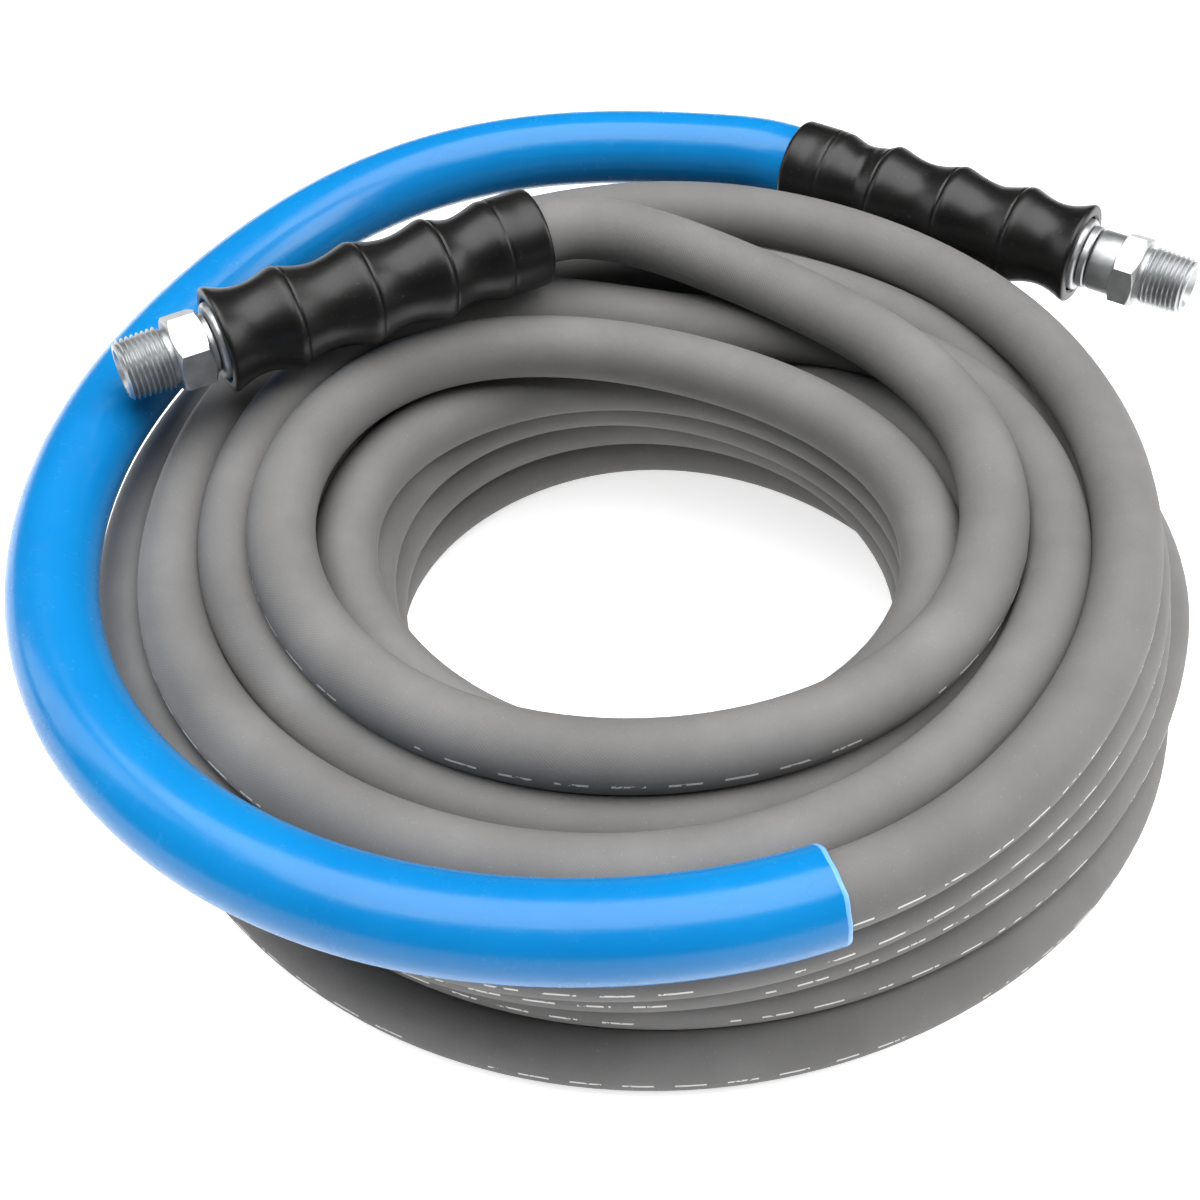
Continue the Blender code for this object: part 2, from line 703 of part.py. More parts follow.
def build():
    """Model the whole hose."""
    clear_scene()
    body = new_collection("pressure_washer_hose")
    cutters = new_collection("cutters")
    grey = material("grey_rubber", (0.25, 0.24, 0.235), 0.55, 0.0)
    blue = material("blue_plastic", (0.02, 0.28, 0.90), 0.30, 0.0)
    black = material("black_rubber", (0.012, 0.010, 0.009), 0.45, 0.0)
    zinc = material("zinc_plated_steel", (0.75, 0.76, 0.78), 0.25, 1.0)
    inlet = HoseEnd(on_top(*INLET_CUFF), on_top(*INLET_FLANGE_TOWARDS))
    outlet = HoseEnd(on_top(*OUTLET_CUFF), on_top(*OUTLET_FLANGE_TOWARDS))
    make_coil(body, grey)
    make_lead("hose_lead_inlet", inlet, INLET_ROUTE, body, cutters, grey)
    make_lead("hose_lead_outlet", outlet, OUTLET_ROUTE, body, cutters, grey)
    make_sleeve(outlet, body, blue)
    for label, end in (("inlet", inlet), ("outlet", outlet)):
        make_boot("bend_restrictor_" + label, end, body, black)
        make_ferrule("ferrule_" + label, end, body, zinc)
    make_inlet_stem(inlet, body, cutters, zinc)
    make_outlet_stem(outlet, body, cutters, zinc)
    make_swivel(outlet, body, cutters, zinc)


build()
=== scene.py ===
"""Pressure washer hose in a coil: dressed model, materials, camera and light."""

import math

import bpy
import numpy as np
from mathutils import Matrix, Vector


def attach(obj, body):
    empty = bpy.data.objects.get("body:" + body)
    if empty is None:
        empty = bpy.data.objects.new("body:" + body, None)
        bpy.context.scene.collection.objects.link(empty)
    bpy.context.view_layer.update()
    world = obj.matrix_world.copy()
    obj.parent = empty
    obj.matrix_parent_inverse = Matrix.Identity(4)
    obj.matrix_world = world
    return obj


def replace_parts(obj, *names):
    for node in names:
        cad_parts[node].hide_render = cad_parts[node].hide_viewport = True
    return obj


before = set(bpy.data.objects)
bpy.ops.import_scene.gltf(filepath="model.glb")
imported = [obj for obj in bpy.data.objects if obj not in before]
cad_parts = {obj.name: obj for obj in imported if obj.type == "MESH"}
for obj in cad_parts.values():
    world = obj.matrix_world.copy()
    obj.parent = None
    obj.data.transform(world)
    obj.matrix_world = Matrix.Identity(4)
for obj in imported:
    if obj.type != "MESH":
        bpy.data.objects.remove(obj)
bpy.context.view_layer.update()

# Lengths are in millimetres up to the meshes, which are in metres
MM = 0.001

# Camera
PHOTO_PIXELS = 1200.0
FOCAL_PIXELS = 1782.7
SENSOR_WIDTH = 36.0
CAMERA_PLACE = (-13.3, -343.8, 397.8)
CAMERA_PITCH = 47.52
CAMERA_ROLL = -1.85

# Hose
HOSE_RADIUS = 8.7
HOSE_BORE = 4.75
HOSE_BORE_DEPTH = 28.0
HOSE_SIDES = 26
HOSE_RING_STEP = 5.2

# Coil: the axis on the floor, and how far it leans for each unit of height
COIL_AXIS = (2.5, 8.4)
AXIS_LEAN = (-0.068, -0.240)

# Sleeve over the outer end of the hose
SLEEVE_RADIUS = 11.25
SLEEVE_WALL = 1.5
SLEEVE_SIDES = 40
SLEEVE_RING_STEP = 4.0
SLEEVE_END = (34.5, -138.6, 77.8)
SLEEVE_TUCK = 5.0

# Cut edge of the sleeve: places along it, and how much thinner its two skins are there
SLEEVE_LIP = [0.0, 0.35, 0.9]
SLEEVE_LIP_CUT = [0.30, 0.06]
SLEEVE_LIP_BORE = 0.25
SLEEVE_LIP_WAVE = [1.0, 1.0, 0.8]

# Waves of the cut edge: how many go round, their height and their phase
SLEEVE_WAVES = [(1.0, 0.35, 0.6), (5.0, 0.16, 0.0), (11.0, 0.10, 1.0)]

# Boots
BOOT_LENGTH = 94.0
BOOT_SIDES = 96
BOOT_STEP = 0.4
BOOT_SLACK = 0.15
NECK_RADIUS = 12.1
RIDGES_AT = [0.6, 19.4, 41.0, 62.6, 80.0]
RIDGE_RADII = [14.45, 14.2, 14.2, 14.2, 13.85]
RIDGE_ROUND = 0.15
CREASE_DEPTH = 0.30
CREASE_BEHIND = 1.8
CREASE_WIDTH = 0.28

# Rounded edges of a boot: places in from its ends, and how much thinner it is there
BOOT_LIP = [0.0, 0.12, 0.4, 0.9]
BOOT_FACE_CUT = [0.9, 0.55, 0.22, 0.04]
BOOT_CUFF_CUT = [0.06, 0.35, 0.85, 1.3]

# Ferrules and their boots' holes, behind the flange face
FERRULE_RADIUS = 10.6
FERRULE_LENGTH = 30.0
FERRULE_PROUD = 1.2
FERRULE_SLACK = 0.2
SHELL_BACK = 28.8
SHELL_SLACK = 0.25
INSERT_SLACK = 0.3
SHELL_FLOOR = 0.8
SHELL_FLATS = 8
FLAT_DEPTH = 0.16
SHELL_RIPPLE = 0.05

# Outer profile of a ferrule: places out of the flange face, and how much thinner it is there
SHELL_PROFILE = [
    (-SHELL_BACK, 0.4), (-28.4, 0.0), (-20.0, 0.0), (-12.0, 0.0), (-4.0, 0.0), (0.2, 0.0),
    (0.75, 0.18), (1.05, 0.5), (FERRULE_PROUD, 0.95),
]

# Fittings, out of the flange face
FITTING_SIDES = 96
FITTING_BASE = 1.5
INSERT_RADIUS = 4.45
INSERT_LENGTH = 26.8
WATER_WAY = 3.2
COUNTERSINK = 2.6
HEX_FLATS = 19.0
HEX_FACE = 9.3
HEX_CHAMFER = 1.1
THREAD_RADIUS = 8.55
THREAD_TAPER = 1.0 / 32.0
THREAD_LENGTH = 12.5
THREAD_PITCH = 1.411
THREAD_DEPTH = 1.05
THREAD_CREST = 0.10
THREAD_CHAMFER = 1.5
THREAD_TIP_SLOPE = 1.2
THREAD_FOOT_SLOPE = 1.4
RELIEF_RADIUS = 7.4
RELIEF_LENGTH = 1.2
SHOULDER_RADIUS = 8.0
SHOULDER_LENGTH = 1.6
INLET_HEX_LENGTH = 9.2
OUTLET_HEX_LENGTH = 7.2
COLLAR_RADIUS = 9.1
COLLAR_LENGTH = 2.2
SWIVEL_GAP = 0.4
CUP_RADIUS = 8.8
CUP_LENGTH = 7.2
CUP_LIP = 2.6
STEM_NECK_RADIUS = 5.6
STEM_HEAD_RADIUS = 6.7
STEM_HEAD_LENGTH = 2.2

# Cuff ends of the boots, and points that their flanges face towards
INLET_CUFF = (-28.2, 68.9, 98.8)
INLET_TOWARDS = (-112.0, 27.4, 98.9)
OUTLET_CUFF = (52.6, 130.6, 77.9)
OUTLET_TOWARDS = (130.7, 77.8, 79.6)

# Turns of the hose from the inlet boot to the outlet boot. Each row is a bearing about the
# coil's axis in degrees, which falls by 360 a turn, the distance from the axis, the height,
# and 1 where the turn is held in place while the others settle round it
TURNS = [
    (97, 89, 94.6, 1), (84, 87, 87.8, 1), (64.5, 85.2, 81.6, 1), (43, 86.8, 79.6, 1), (20, 89.2, 79.2, 1),
    (0, 90.8, 78, 1), (-20, 92, 77.2, 1), (-40, 91.6, 76.8, 1), (-60, 90, 76.6, 1), (-80, 89.4, 76.5, 1),
    (-100, 89.8, 76.5, 1), (-120, 93.2, 76.8, 1), (-140, 94.6, 77, 1), (-160, 93.6, 77, 1),
    (-180, 92.3, 77, 1), (-200, 87.8, 76.6, 1), (-220, 81.6, 75.8, 1), (-232, 76.2, 75, 1),
    (-245, 66.8, 74.2, 1), (-262, 58.8, 73.8, 1), (-280, 53.6, 73, 1), (-300, 52.5, 72, 1),
    (-320, 57.6, 70.6, 1), (-340, 64.6, 69, 1), (-358, 73.5, 67, 1), (-380, 81, 64, 1),
    (-400, 83.2, 61.5, 1), (-430, 83.6, 59.6, 1), (-460, 83, 59, 1), (-485, 81.2, 59.5, 1),
    (-505, 80.8, 60.5, 1), (-520, 80.2, 61, 1), (-540, 79.8, 60.5, 1), (-557, 77.4, 58.8, 1),
    (-570, 74.6, 57.4, 1), (-592, 69, 56.2, 1), (-616, 62.9, 56, 1), (-644, 60.6, 55.6, 1),
    (-674, 61.8, 54.6, 1), (-690, 65.5, 53.4, 1), (-712, 73.5, 51.5, 1), (-730, 80.4, 48.8, 1),
    (-755, 82.2, 45, 1), (-780, 82.7, 42.6, 1), (-810, 82.2, 41.8, 1), (-845, 81, 42, 1),
    (-870, 79.4, 42.2, 1), (-890, 78.6, 42, 1), (-905, 76.8, 41.5, 1), (-930, 77, 40.6, 1),
    (-955, 74.4, 40, 1), (-977, 70.2, 40, 1), (-1002, 67.2, 40, 1), (-1035, 67, 39, 1),
    (-1062, 72.4, 37, 1), (-1086, 79.8, 33.5, 1), (-1115, 82.2, 28.5, 1), (-1140, 82.2, 25.6, 1),
    (-1170, 81.2, 24.6, 1), (-1205, 81, 24.8, 1), (-1230, 79.5, 25, 1), (-1260, 78, 25, 1),
    (-1300, 77, 24.6, 1), (-1325, 75.4, 24.2, 1), (-1350, 72.8, 24, 1), (-1380, 72.8, 23.6, 1),
    (-1410, 74.6, 22.4, 1), (-1440, 79, 19, 1), (-1475, 82.2, 12.5, 1), (-1500, 84.6, 9.6, 1),
    (-1530, 85.6, 8.7, 1), (-1560, 85.2, 8.7, 1), (-1590, 83.2, 8.7, 1), (-1620, 82, 8.7, 1),
    (-1650, 77.6, 8.7, 1), (-1673, 74.6, 8.7, 1), (-1692, 74.5, 8.7, 1), (-1709, 74.3, 8.7, 1),
    (-1726, 74.4, 8.7, 1), (-1744, 75.3, 8.7, 1), (-1762, 78.6, 8.7, 1), (-1780, 84.2, 8.7, 1),
    (-1798, 90.5, 8.7, 0), (-1820, 100.2, 8.7, 0), (-1850, 103, 8.7, 0), (-1890, 106, 8.7, 0),
    (-1935, 106, 8.7, 0), (-1980, 104, 8.7, 0), (-2020, 101.2, 8.7, 0), (-2070, 96.8, 9.6, 0),
    (-2115, 100.7, 14, 0), (-2160, 101, 20, 0), (-2205, 101.2, 24, 0), (-2250, 98.8, 25, 0),
    (-2295, 98.8, 25, 0), (-2340, 99.6, 25, 0), (-2380, 97.2, 25, 0), (-2430, 94.8, 25.8, 0),
    (-2475, 98.2, 30, 0), (-2520, 101.2, 36, 0), (-2565, 100.2, 40.4, 0), (-2610, 100, 41.6, 0),
    (-2655, 100.2, 41.6, 0), (-2700, 101.2, 41, 0), (-2740, 96.2, 41, 0), (-2790, 86.2, 42, 0),
    (-2835, 94.2, 46, 0), (-2880, 99.2, 51.6, 0), (-2925, 98.7, 55.6, 0), (-2970, 99.2, 56, 0),
    (-3015, 101.2, 55, 0), (-3060, 101.8, 53, 0), (-3100, 94.2, 54, 0), (-3150, 80, 57, 0),
    (-3195, 82, 58, 0), (-3240, 90, 60, 0), (-3285, 96.4, 60.4, 1), (-3330, 99.6, 62.8, 1),
    (-3375, 103.8, 66.2, 1), (-3410, 106.8, 68.6, 1), (-3430, 107.6, 69, 1), (-3445, 104.5, 70, 0),
    (-3460, 100.2, 71.8, 0), (-3475, 84.2, 74, 0), (-3489, 78, 75.2, 1), (-3505, 75.6, 75.2, 1),
    (-3519, 74.6, 74.2, 1), (-3530, 78, 72, 0), (-3541, 82.2, 69.4, 0), (-3551, 89.6, 67.4, 0),
    (-3561, 98.2, 66.4, 0), (-3580, 102.5, 68, 1), (-3600, 106.8, 70.6, 1), (-3626, 108.8, 72.4, 1),
    (-3649, 111.2, 72, 1), (-3668, 113.2, 71.4, 1), (-3690, 117, 71, 1), (-3715, 119.8, 70.6, 1),
    (-3732, 122.2, 69.4, 1), (-3750, 123.6, 67.4, 1), (-3765, 123.6, 65.6, 1), (-3780, 121.6, 64.4, 1),
    (-3796, 118, 64.4, 1), (-3812, 114.6, 66, 0), (-3830, 103.5, 69.6, 0), (-3850, 97.7, 74, 0),
    (-3870, 94.6, 76, 0), (-3890, 98.5, 71.5, 1), (-3910, 107, 66, 1), (-3932, 115, 60.5, 1),
    (-3960, 120, 57, 0), (-4005, 116.6, 55.8, 0), (-4050, 117.2, 55.4, 0), (-4095, 119.6, 52.8, 0),
    (-4140, 118.6, 49.6, 0), (-4180, 110.6, 52, 0), (-4230, 101.5, 56.6, 0), (-4275, 110.6, 52, 0),
    (-4320, 117.1, 43.4, 0), (-4365, 116.2, 40.4, 0), (-4410, 116.4, 40, 0), (-4455, 117.6, 38.6, 0),
    (-4500, 118, 36.8, 0), (-4545, 114.1, 38, 0), (-4590, 111.6, 40, 0), (-4635, 115.1, 36, 0),
    (-4680, 117.6, 28, 0), (-4725, 116, 24.6, 0), (-4770, 115.6, 24.2, 0), (-4815, 116.2, 24, 0),
    (-4860, 116.6, 23.6, 0), (-4905, 115.6, 24, 0), (-4950, 115.1, 24.4, 0), (-4995, 119.1, 20, 0),
    (-5040, 121.5, 12.6, 0), (-5085, 123.4, 9, 0), (-5130, 123.8, 8.7, 0), (-5175, 124, 8.7, 0),
    (-5220, 123.6, 8.7, 0), (-5265, 119, 8.7, 0), (-5310, 120.2, 8.7, 0), (-5355, 125, 8.7, 0),
    (-5400, 135.4, 8.7, 1), (-5425, 140.2, 8.7, 1), (-5460, 140.6, 8.7, 1), (-5490, 141.3, 8.7, 1),
    (-5520, 142, 8.7, 1), (-5545, 141, 8.7, 1), (-5580, 140.6, 8.7, 0), (-5625, 139, 8.7, 0),
    (-5670, 138, 10, 0), (-5715, 138, 14.5, 0), (-5750, 138.6, 19.6, 0), (-5780, 137.4, 22.6, 1),
    (-5812, 133.9, 23.2, 1), (-5850, 130.4, 23.2, 1), (-5890, 130.2, 23.4, 1), (-5940, 131, 24, 0),
    (-5985, 133, 24, 0), (-6030, 134, 26, 0), (-6075, 134.4, 31, 0), (-6115, 134.4, 37, 0),
    (-6141, 133, 40, 1), (-6175, 128.8, 40.6, 1), (-6210, 130.8, 40.6, 1), (-6235, 133, 40.8, 1),
    (-6300, 134.2, 40, 0), (-6345, 131.6, 41, 0), (-6390, 128.5, 43.4, 0), (-6435, 129.4, 49.6, 0),
    (-6480, 130, 55.8, 1), (-6523, 128.2, 57.6, 1), (-6550, 130.8, 57.8, 1), (-6573, 134.4, 58, 1),
    (-6605, 136.8, 57.6, 1), (-6635, 136.6, 56, 1), (-6660, 136.6, 54.8, 1), (-6680, 135.6, 56, 1),
    (-6705, 131, 61, 0), (-6730, 125.6, 69, 0), (-6750, 123.4, 74, 1), (-6770, 125.6, 74.6, 1),
    (-6795, 125.6, 74.6, 1), (-6820, 125.2, 74.8, 1), (-6840, 124.4, 75.4, 1), (-6860, 123.6, 76, 1),
    (-6880, 125.4, 76.6, 1), (-6900, 130.2, 77.6, 1), (-6915, 132.4, 78.4, 1), (-6934, 134.4, 79, 1),
    (-6952.6, 140.2, 79, 1), (-6970.8, 145.1, 79, 1), (-6988.8, 149, 79, 1), (-7005.6, 148.8, 79, 1),
    (-7022.3, 146.4, 79, 1), (-7042, 144.2, 79.2, 1), (-7055, 144, 79, 1), (-7064.4, 146.6, 78.8, 1),
    (-7076.5, 151.2, 78.4, 1), (-7085.7, 154.4, 78.1, 1), (-7098, 155.4, 77.8, 1),
    (-7106.2, 155, 77.7, 1), (-7118, 153.2, 77.7, 1),
]

# Straight ends of the hose line, as places along it from each boot's cuff towards its face
STRAIGHT_ENDS = [-6.0, 0.0, 14.0, 34.0, 54.0, 74.0, 93.0]

# Settling of the turns against each other
BEARING_STEP = 2.0
SETTLE_STEP = 10.0
SETTLE_ROUNDS = 240
SETTLE_REACH = 34.0
SETTLE_REFRESH = 15
SETTLE_BLOCK = 400
SETTLE_SKIP = 6
SETTLE_BESIDE = 7.5
SETTLE_SHARE = 0.5
HELD_GIVE = 0.008
FAIRING = 0.25
BOOT_ROOM = 14.0

# Patterns of the finishes, in millimetres unless they are counted round the piece
WEAVE_THREADS = 64.0
WEAVE_PITCH = 0.9
PRINT_WIDTH = 0.71
DASH_PITCH = 11.8
DASH_SHARE = 0.60
DASH_GROUP = 118.0
DASH_GROUP_SHARE = 0.82
PRINT_COVER = 0.85
DUST_MIX = 0.12
DRAW_LINES = 60.0
# Width of the pale painted highlight along the sleeve's cut edge
SLEEVE_EDGE_HIGHLIGHT = 1.2

# Angle in degrees past which the edges of each kind of piece look sharp
SHARP_PAST = {
    "hose": 60.0, "sleeve": 55.0, "boot": 42.0, "shell": 35.0, "fitting": 28.0, "tail": 28.0,
    "swivel": 28.0,
}

# Share of a turn by which u is shifted, so that the printed line lies straight out of the coil
PRINT_TURN = -0.5


def unit(vector):
    """Vector of length one in the same direction."""
    vector = np.asarray(vector, float)
    return vector / np.linalg.norm(vector)


def linear(colour):
    """Linear colour with full alpha from an sRGB hex string."""
    parts = [int(colour[i:i + 2], 16) / 255.0 for i in (1, 3, 5)]
    return [p / 12.92 if p <= 0.04045 else ((p + 0.055) / 1.055) ** 2.4 for p in parts] + [1.0]


# Meshes


def ring_faces(rows, sides, closed=False):
    """Quads between rows of points that each go once round, outward for rows along the axis."""
    row = np.arange(rows if closed else rows - 1)[:, None]
    side = np.arange(sides)[None, :]
    low, high = row * sides, ((row + 1) % rows) * sides
    turn = (side + 1) % sides
    quads = np.stack([low + side, low + turn, high + turn, high + side], axis=-1)
    return quads.reshape(-1, 4)


def skin(rings, closed=False):
    """Points and faces of a skin over rings.

    A closed skin joins its last ring to its first. An open one gets a fan of triangles about the
    middle of each end ring.
    """
    rows, sides = rings.shape[:2]
    points = rings.reshape(-1, 3)
    faces = ring_faces(rows, sides, closed).tolist()
    if closed:
        return points, faces
    ends = np.stack([rings[0].mean(axis=0), rings[-1].mean(axis=0)])
    first, last = len(points), len(points) + 1
    points = np.concatenate([points, ends])
    top = (rows - 1) * sides
    side = np.arange(sides)
    turn = (side + 1) % sides
    first, last = np.full(sides, first), np.full(sides, last)
    fan = np.stack([first, turn, side, last, top + side, top + turn], axis=-1)
    return points, faces + fan.reshape(-1, 3).tolist()


def skin_uvs(along, sides, closed=False, shift=0.0):
    """Coordinates of a skin's corners: u once round from 0 to 1, v the length along in metres.

    The shift turns u back by a share of a turn.
    """
    rows = len(along)
    low = np.arange(rows if closed else rows - 1)[:, None]
    high = (low + 1) % rows
    u = np.arange(sides + 1)[None] / sides - shift
    v = np.asarray(along) * MM
    corners = [(u[:, :-1], v[low]), (u[:, 1:], v[low]), (u[:, 1:], v[high]), (u[:, :-1], v[high])]
    uvs = np.stack([np.stack(np.broadcast_arrays(*corner), axis=-1) for corner in corners], axis=2)
    uvs = uvs.reshape(-1, 2)
    if closed:
        return uvs
    fan = np.zeros((sides * 6, 2))
    fan[:, 1] = np.tile([v[0]] * 3 + [v[-1]] * 3, sides)
    return np.concatenate([uvs, fan])


def new_piece(name, rings, along, finish, body, closed=True, shift=0.0):
    """Object at the origin whose surface is a skin over rings of points in millimetres.

    It has its finish, the body it rides on, and sharp edges past its angle in SHARP_PAST.
    """
    points, faces = skin(rings, closed)
    uvs = skin_uvs(along, rings.shape[1], closed, shift)
    mesh = bpy.data.meshes.new(name)
    mesh.from_pydata((points * MM).tolist(), [], faces)
    mesh.update()
    mesh.materials.append(finish)
    layer = mesh.uv_layers.new(name="along")
    layer.data.foreach_set("uv", uvs.ravel())
    mesh.shade_smooth()
    mesh.set_sharp_from_angle(angle=math.radians(SHARP_PAST[name.split("_")[0]]))
    piece = bpy.data.objects.new(name, mesh)
    bpy.context.scene.collection.objects.link(piece)
    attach(piece, body)
    return piece


class End:
    """Place of one end of the hose: its boot's flange face, and the axis out of it."""

    def __init__(self, cuff, towards):
        self.cuff = np.array(cuff, float)
        self.axis = unit(np.array(towards) - self.cuff)
        self.face = self.cuff + self.axis * BOOT_LENGTH
        upright = np.array([0.0, 0.0, 1.0])
        self.up = unit(upright - self.axis * (upright @ self.axis))
        self.side = np.cross(self.up, self.axis)

    def rings(self, stations, radii, angles):
        """Rings: face + station * axis + radius * (cos angle * side + sin angle * up)."""
        radii = np.broadcast_to(radii, (len(stations), len(angles)))
        around = np.cos(angles)[:, None] * self.side + np.sin(angles)[:, None] * self.up
        line = self.face + np.asarray(stations, float)[:, None] * self.axis
        return line[:, None, :] + radii[..., None] * around[None]


def around(sides, start=0.0):
    """Evenly spaced angles once round."""
    return start + np.arange(sides) * (2.0 * math.pi / sides)


def taper_thread(station, angle, base):
    """Outer radius of a taper thread with its relief at the base.

    r = THREAD_RADIUS - taper * h - THREAD_DEPTH * groove, where the groove is 60 degrees wide
    and winds round once for each THREAD_PITCH. The first and last turns are chamfered.
    """
    start = base + RELIEF_LENGTH
    height = station - start
    phase = (height / THREAD_PITCH - angle / (2.0 * math.pi)) % 1.0
    groove = np.clip((np.abs(2.0 * phase - 1.0) - THREAD_CREST) / (1.0 - 2.0 * THREAD_CREST), 0.0, 1.0)
    radius = THREAD_RADIUS - THREAD_TAPER * height - THREAD_DEPTH * groove
    tip = THREAD_RADIUS - THREAD_CHAMFER + (THREAD_LENGTH - height) * THREAD_TIP_SLOPE
    foot = RELIEF_RADIUS + np.maximum(height, 0.0) * THREAD_FOOT_SLOPE
    radius = np.minimum(radius, np.minimum(tip, foot))
    return np.where(height < 0.0, RELIEF_RADIUS, radius)


def hexagon(station, angle, low, high):
    """Radius of a hexagon, cut back at both ends by its 30 degree chamfers.

    r = min(HEX_FLATS / 2 / cos(angle from the flat), HEX_FACE + sqrt(3) * depth from the end)
    """
    fold = (angle + math.pi / 6.0) % (math.pi / 3.0) - math.pi / 6.0
    depth = np.minimum(station - low, high - station)
    return np.minimum(HEX_FLATS / 2.0 / np.cos(fold), HEX_FACE + math.sqrt(3.0) * depth)


def steps(low, high, step):
    """Stations from one end to the other, both included, about a step apart."""
    return np.linspace(low, high, max(2, int(math.ceil((high - low) / step)) + 1))


# Lines


def natural_spline(at, points, query):
    """Natural cubic spline through points at the given parameters.

    Its second derivatives solve one linear system, which makes the slopes of neighbouring spans
    meet at each point and leaves both ends unbent.
    """
    count = len(at)
    gap = np.diff(at)
    matrix = np.zeros((count, count))
    right = np.zeros((count, points.shape[1]))
    matrix[0, 0] = matrix[-1, -1] = 1.0
    inner = np.arange(1, count - 1)
    matrix[inner, inner - 1] = gap[:-1]
    matrix[inner, inner] = 2.0 * (gap[:-1] + gap[1:])
    matrix[inner, inner + 1] = gap[1:]
    slope = np.diff(points, axis=0) / gap[:, None]
    right[1:-1] = 6.0 * np.diff(slope, axis=0)
    bend = np.linalg.solve(matrix, right)
    k = np.clip(np.searchsorted(at, query) - 1, 0, count - 2)
    h = gap[k][:, None]
    a = (at[k + 1] - query)[:, None]
    b = (query - at[k])[:, None]
    cubic = (bend[k] * a ** 3 + bend[k + 1] * b ** 3) / (6.0 * h)
    before = (points[k] / h - bend[k] * h / 6.0) * a
    after = (points[k + 1] / h - bend[k + 1] * h / 6.0) * b
    return cubic + before + after


def lengths(points):
    """Distance along a line of points at each point."""
    return np.concatenate([[0.0], np.cumsum(np.linalg.norm(np.diff(points, axis=0), axis=1))])


def coarse_line(inlet, outlet):
    """Hose line before it settles, a point each SETTLE_STEP, with how each is held.

    The turns are x, y = axis + lean * height + distance * (cos, sin) of the bearing, on a spline
    through their rows, and the ends are straight. The hold is 0 free, 1 held and 2 fixed.
    """
    rows = np.array(TURNS, float)
    bearing = np.arange(rows[0, 0], rows[-1, 0], -BEARING_STEP)
    shape = natural_spline(-rows[:, 0], rows[:, 1:3], -bearing)
    held = np.interp(-bearing, -rows[:, 0], rows[:, 3])
    angle = np.radians(bearing)
    distance, height = shape[:, 0], shape[:, 1]
    turns = np.stack([
        COIL_AXIS[0] + AXIS_LEAN[0] * height + distance * np.cos(angle),
        COIL_AXIS[1] + AXIS_LEAN[1] * height + distance * np.sin(angle),
        height,
    ], axis=1)
    straight = np.array(STRAIGHT_ENDS)
    start = inlet.cuff + straight[::-1, None] * inlet.axis
    finish = outlet.cuff + straight[:, None] * outlet.axis
    points = np.concatenate([start, turns, finish])
    fixed = np.full(len(straight), 2.0)
    held = np.concatenate([fixed, held, fixed])
    along = lengths(points)
    query = np.linspace(0.0, along[-1], int(round(along[-1] / SETTLE_STEP)) + 1)
    return natural_spline(along, points, query), np.interp(query, along, held)


def close_pairs(points):
    """Pairs of points of different turns that are within reach of each other."""
    first, second = [], []
    index = np.arange(len(points))
    for start in range(0, len(points), SETTLE_BLOCK):
        rows = index[start:start + SETTLE_BLOCK]
        gap = np.linalg.norm(points[rows][:, None] - points[None], axis=2)
        near = (gap < SETTLE_REACH) & (np.abs(rows[:, None] - index[None]) > SETTLE_SKIP)
        a, b = np.nonzero(near)
        first.append(rows[a])
        second.append(b)
    return np.concatenate(first), np.concatenate(second)


def settle(points, held, radius):
    """Push the turns apart where they lie in each other, and fair the line after each round.

    Each point moves by its share of the overlap, blurred along the line. Held points give way
    least and fixed ones not at all, so a little overlap is left in the end.
    """
    free = np.where(held > 1.0, 0.0, np.where(held > 0.5, HELD_GIVE, 1.0))[:, None]
    fair = np.where(held > 1.0, 0.0, FAIRING)[:, None]
    blur = np.array([1.0, 4.0, 6.0, 4.0, 1.0]) / 16.0
    count = len(points)
    for turn in range(SETTLE_ROUNDS):
        if turn % SETTLE_REFRESH == 0:
            first, second = close_pairs(points)
        tangent = np.gradient(points, axis=0)
        tangent /= np.linalg.norm(tangent, axis=1)[:, None]
        apart = points[first] - points[second]
        along = np.sum(apart * tangent[first], axis=1)
        apart -= along[:, None] * tangent[first]
        gap = np.maximum(np.linalg.norm(apart, axis=1), 1e-6)
        over = np.where(np.abs(along) < SETTLE_BESIDE, radius[first] + radius[second] - gap, 0.0)
        over = np.maximum(over, 0.0)
        push = apart * (over / gap)[:, None]
        total = np.stack([np.bincount(first, push[:, axis], count) for axis in range(3)], axis=1)
        touching = np.maximum(np.bincount(first, over > 0.0, count), 1.0)
        move = SETTLE_SHARE * free * total / touching[:, None]
        for axis in range(3):
            move[:, axis] = np.convolve(np.pad(move[:, axis], 2, mode="edge"), blur, "valid")
        points = points + np.where(free > 0.0, move, 0.0)
        points[:, 2] = np.maximum(points[:, 2], radius)
        bend = np.zeros_like(points)
        bend[1:-1] = 0.5 * (points[:-2] + points[2:]) - points[1:-1]
        change = np.zeros_like(points)
        change[1:-1] = 0.5 * (bend[:-2] + bend[2:]) - bend[1:-1]
        points = points - fair * change
    return points


def hose_line(inlet, outlet):
    """Centre line of the whole hose, and the number of the point where the sleeve starts."""
    points, held = coarse_line(inlet, outlet)
    half = len(points) // 2
    start = half + int(np.argmin(np.linalg.norm(points[half:] - np.array(SLEEVE_END), axis=1)))
    radius = np.full(len(points), HOSE_RADIUS)
    radius[start:] = SLEEVE_RADIUS
    along = lengths(points)
    radius[along < BOOT_LENGTH] = BOOT_ROOM
    radius[along > along[-1] - BOOT_LENGTH] = BOOT_ROOM
    points = settle(points, held, radius)
    return points, lengths(points)[start]


def smooth_line(points, step, begin=0.0, end=None):
    """Points a step apart on the spline through a line, between two distances along it."""
    along = lengths(points)
    end = along[-1] if end is None else end
    query = np.linspace(begin, end, int(round((end - begin) / step)) + 1)
    return natural_spline(along, points, query), query


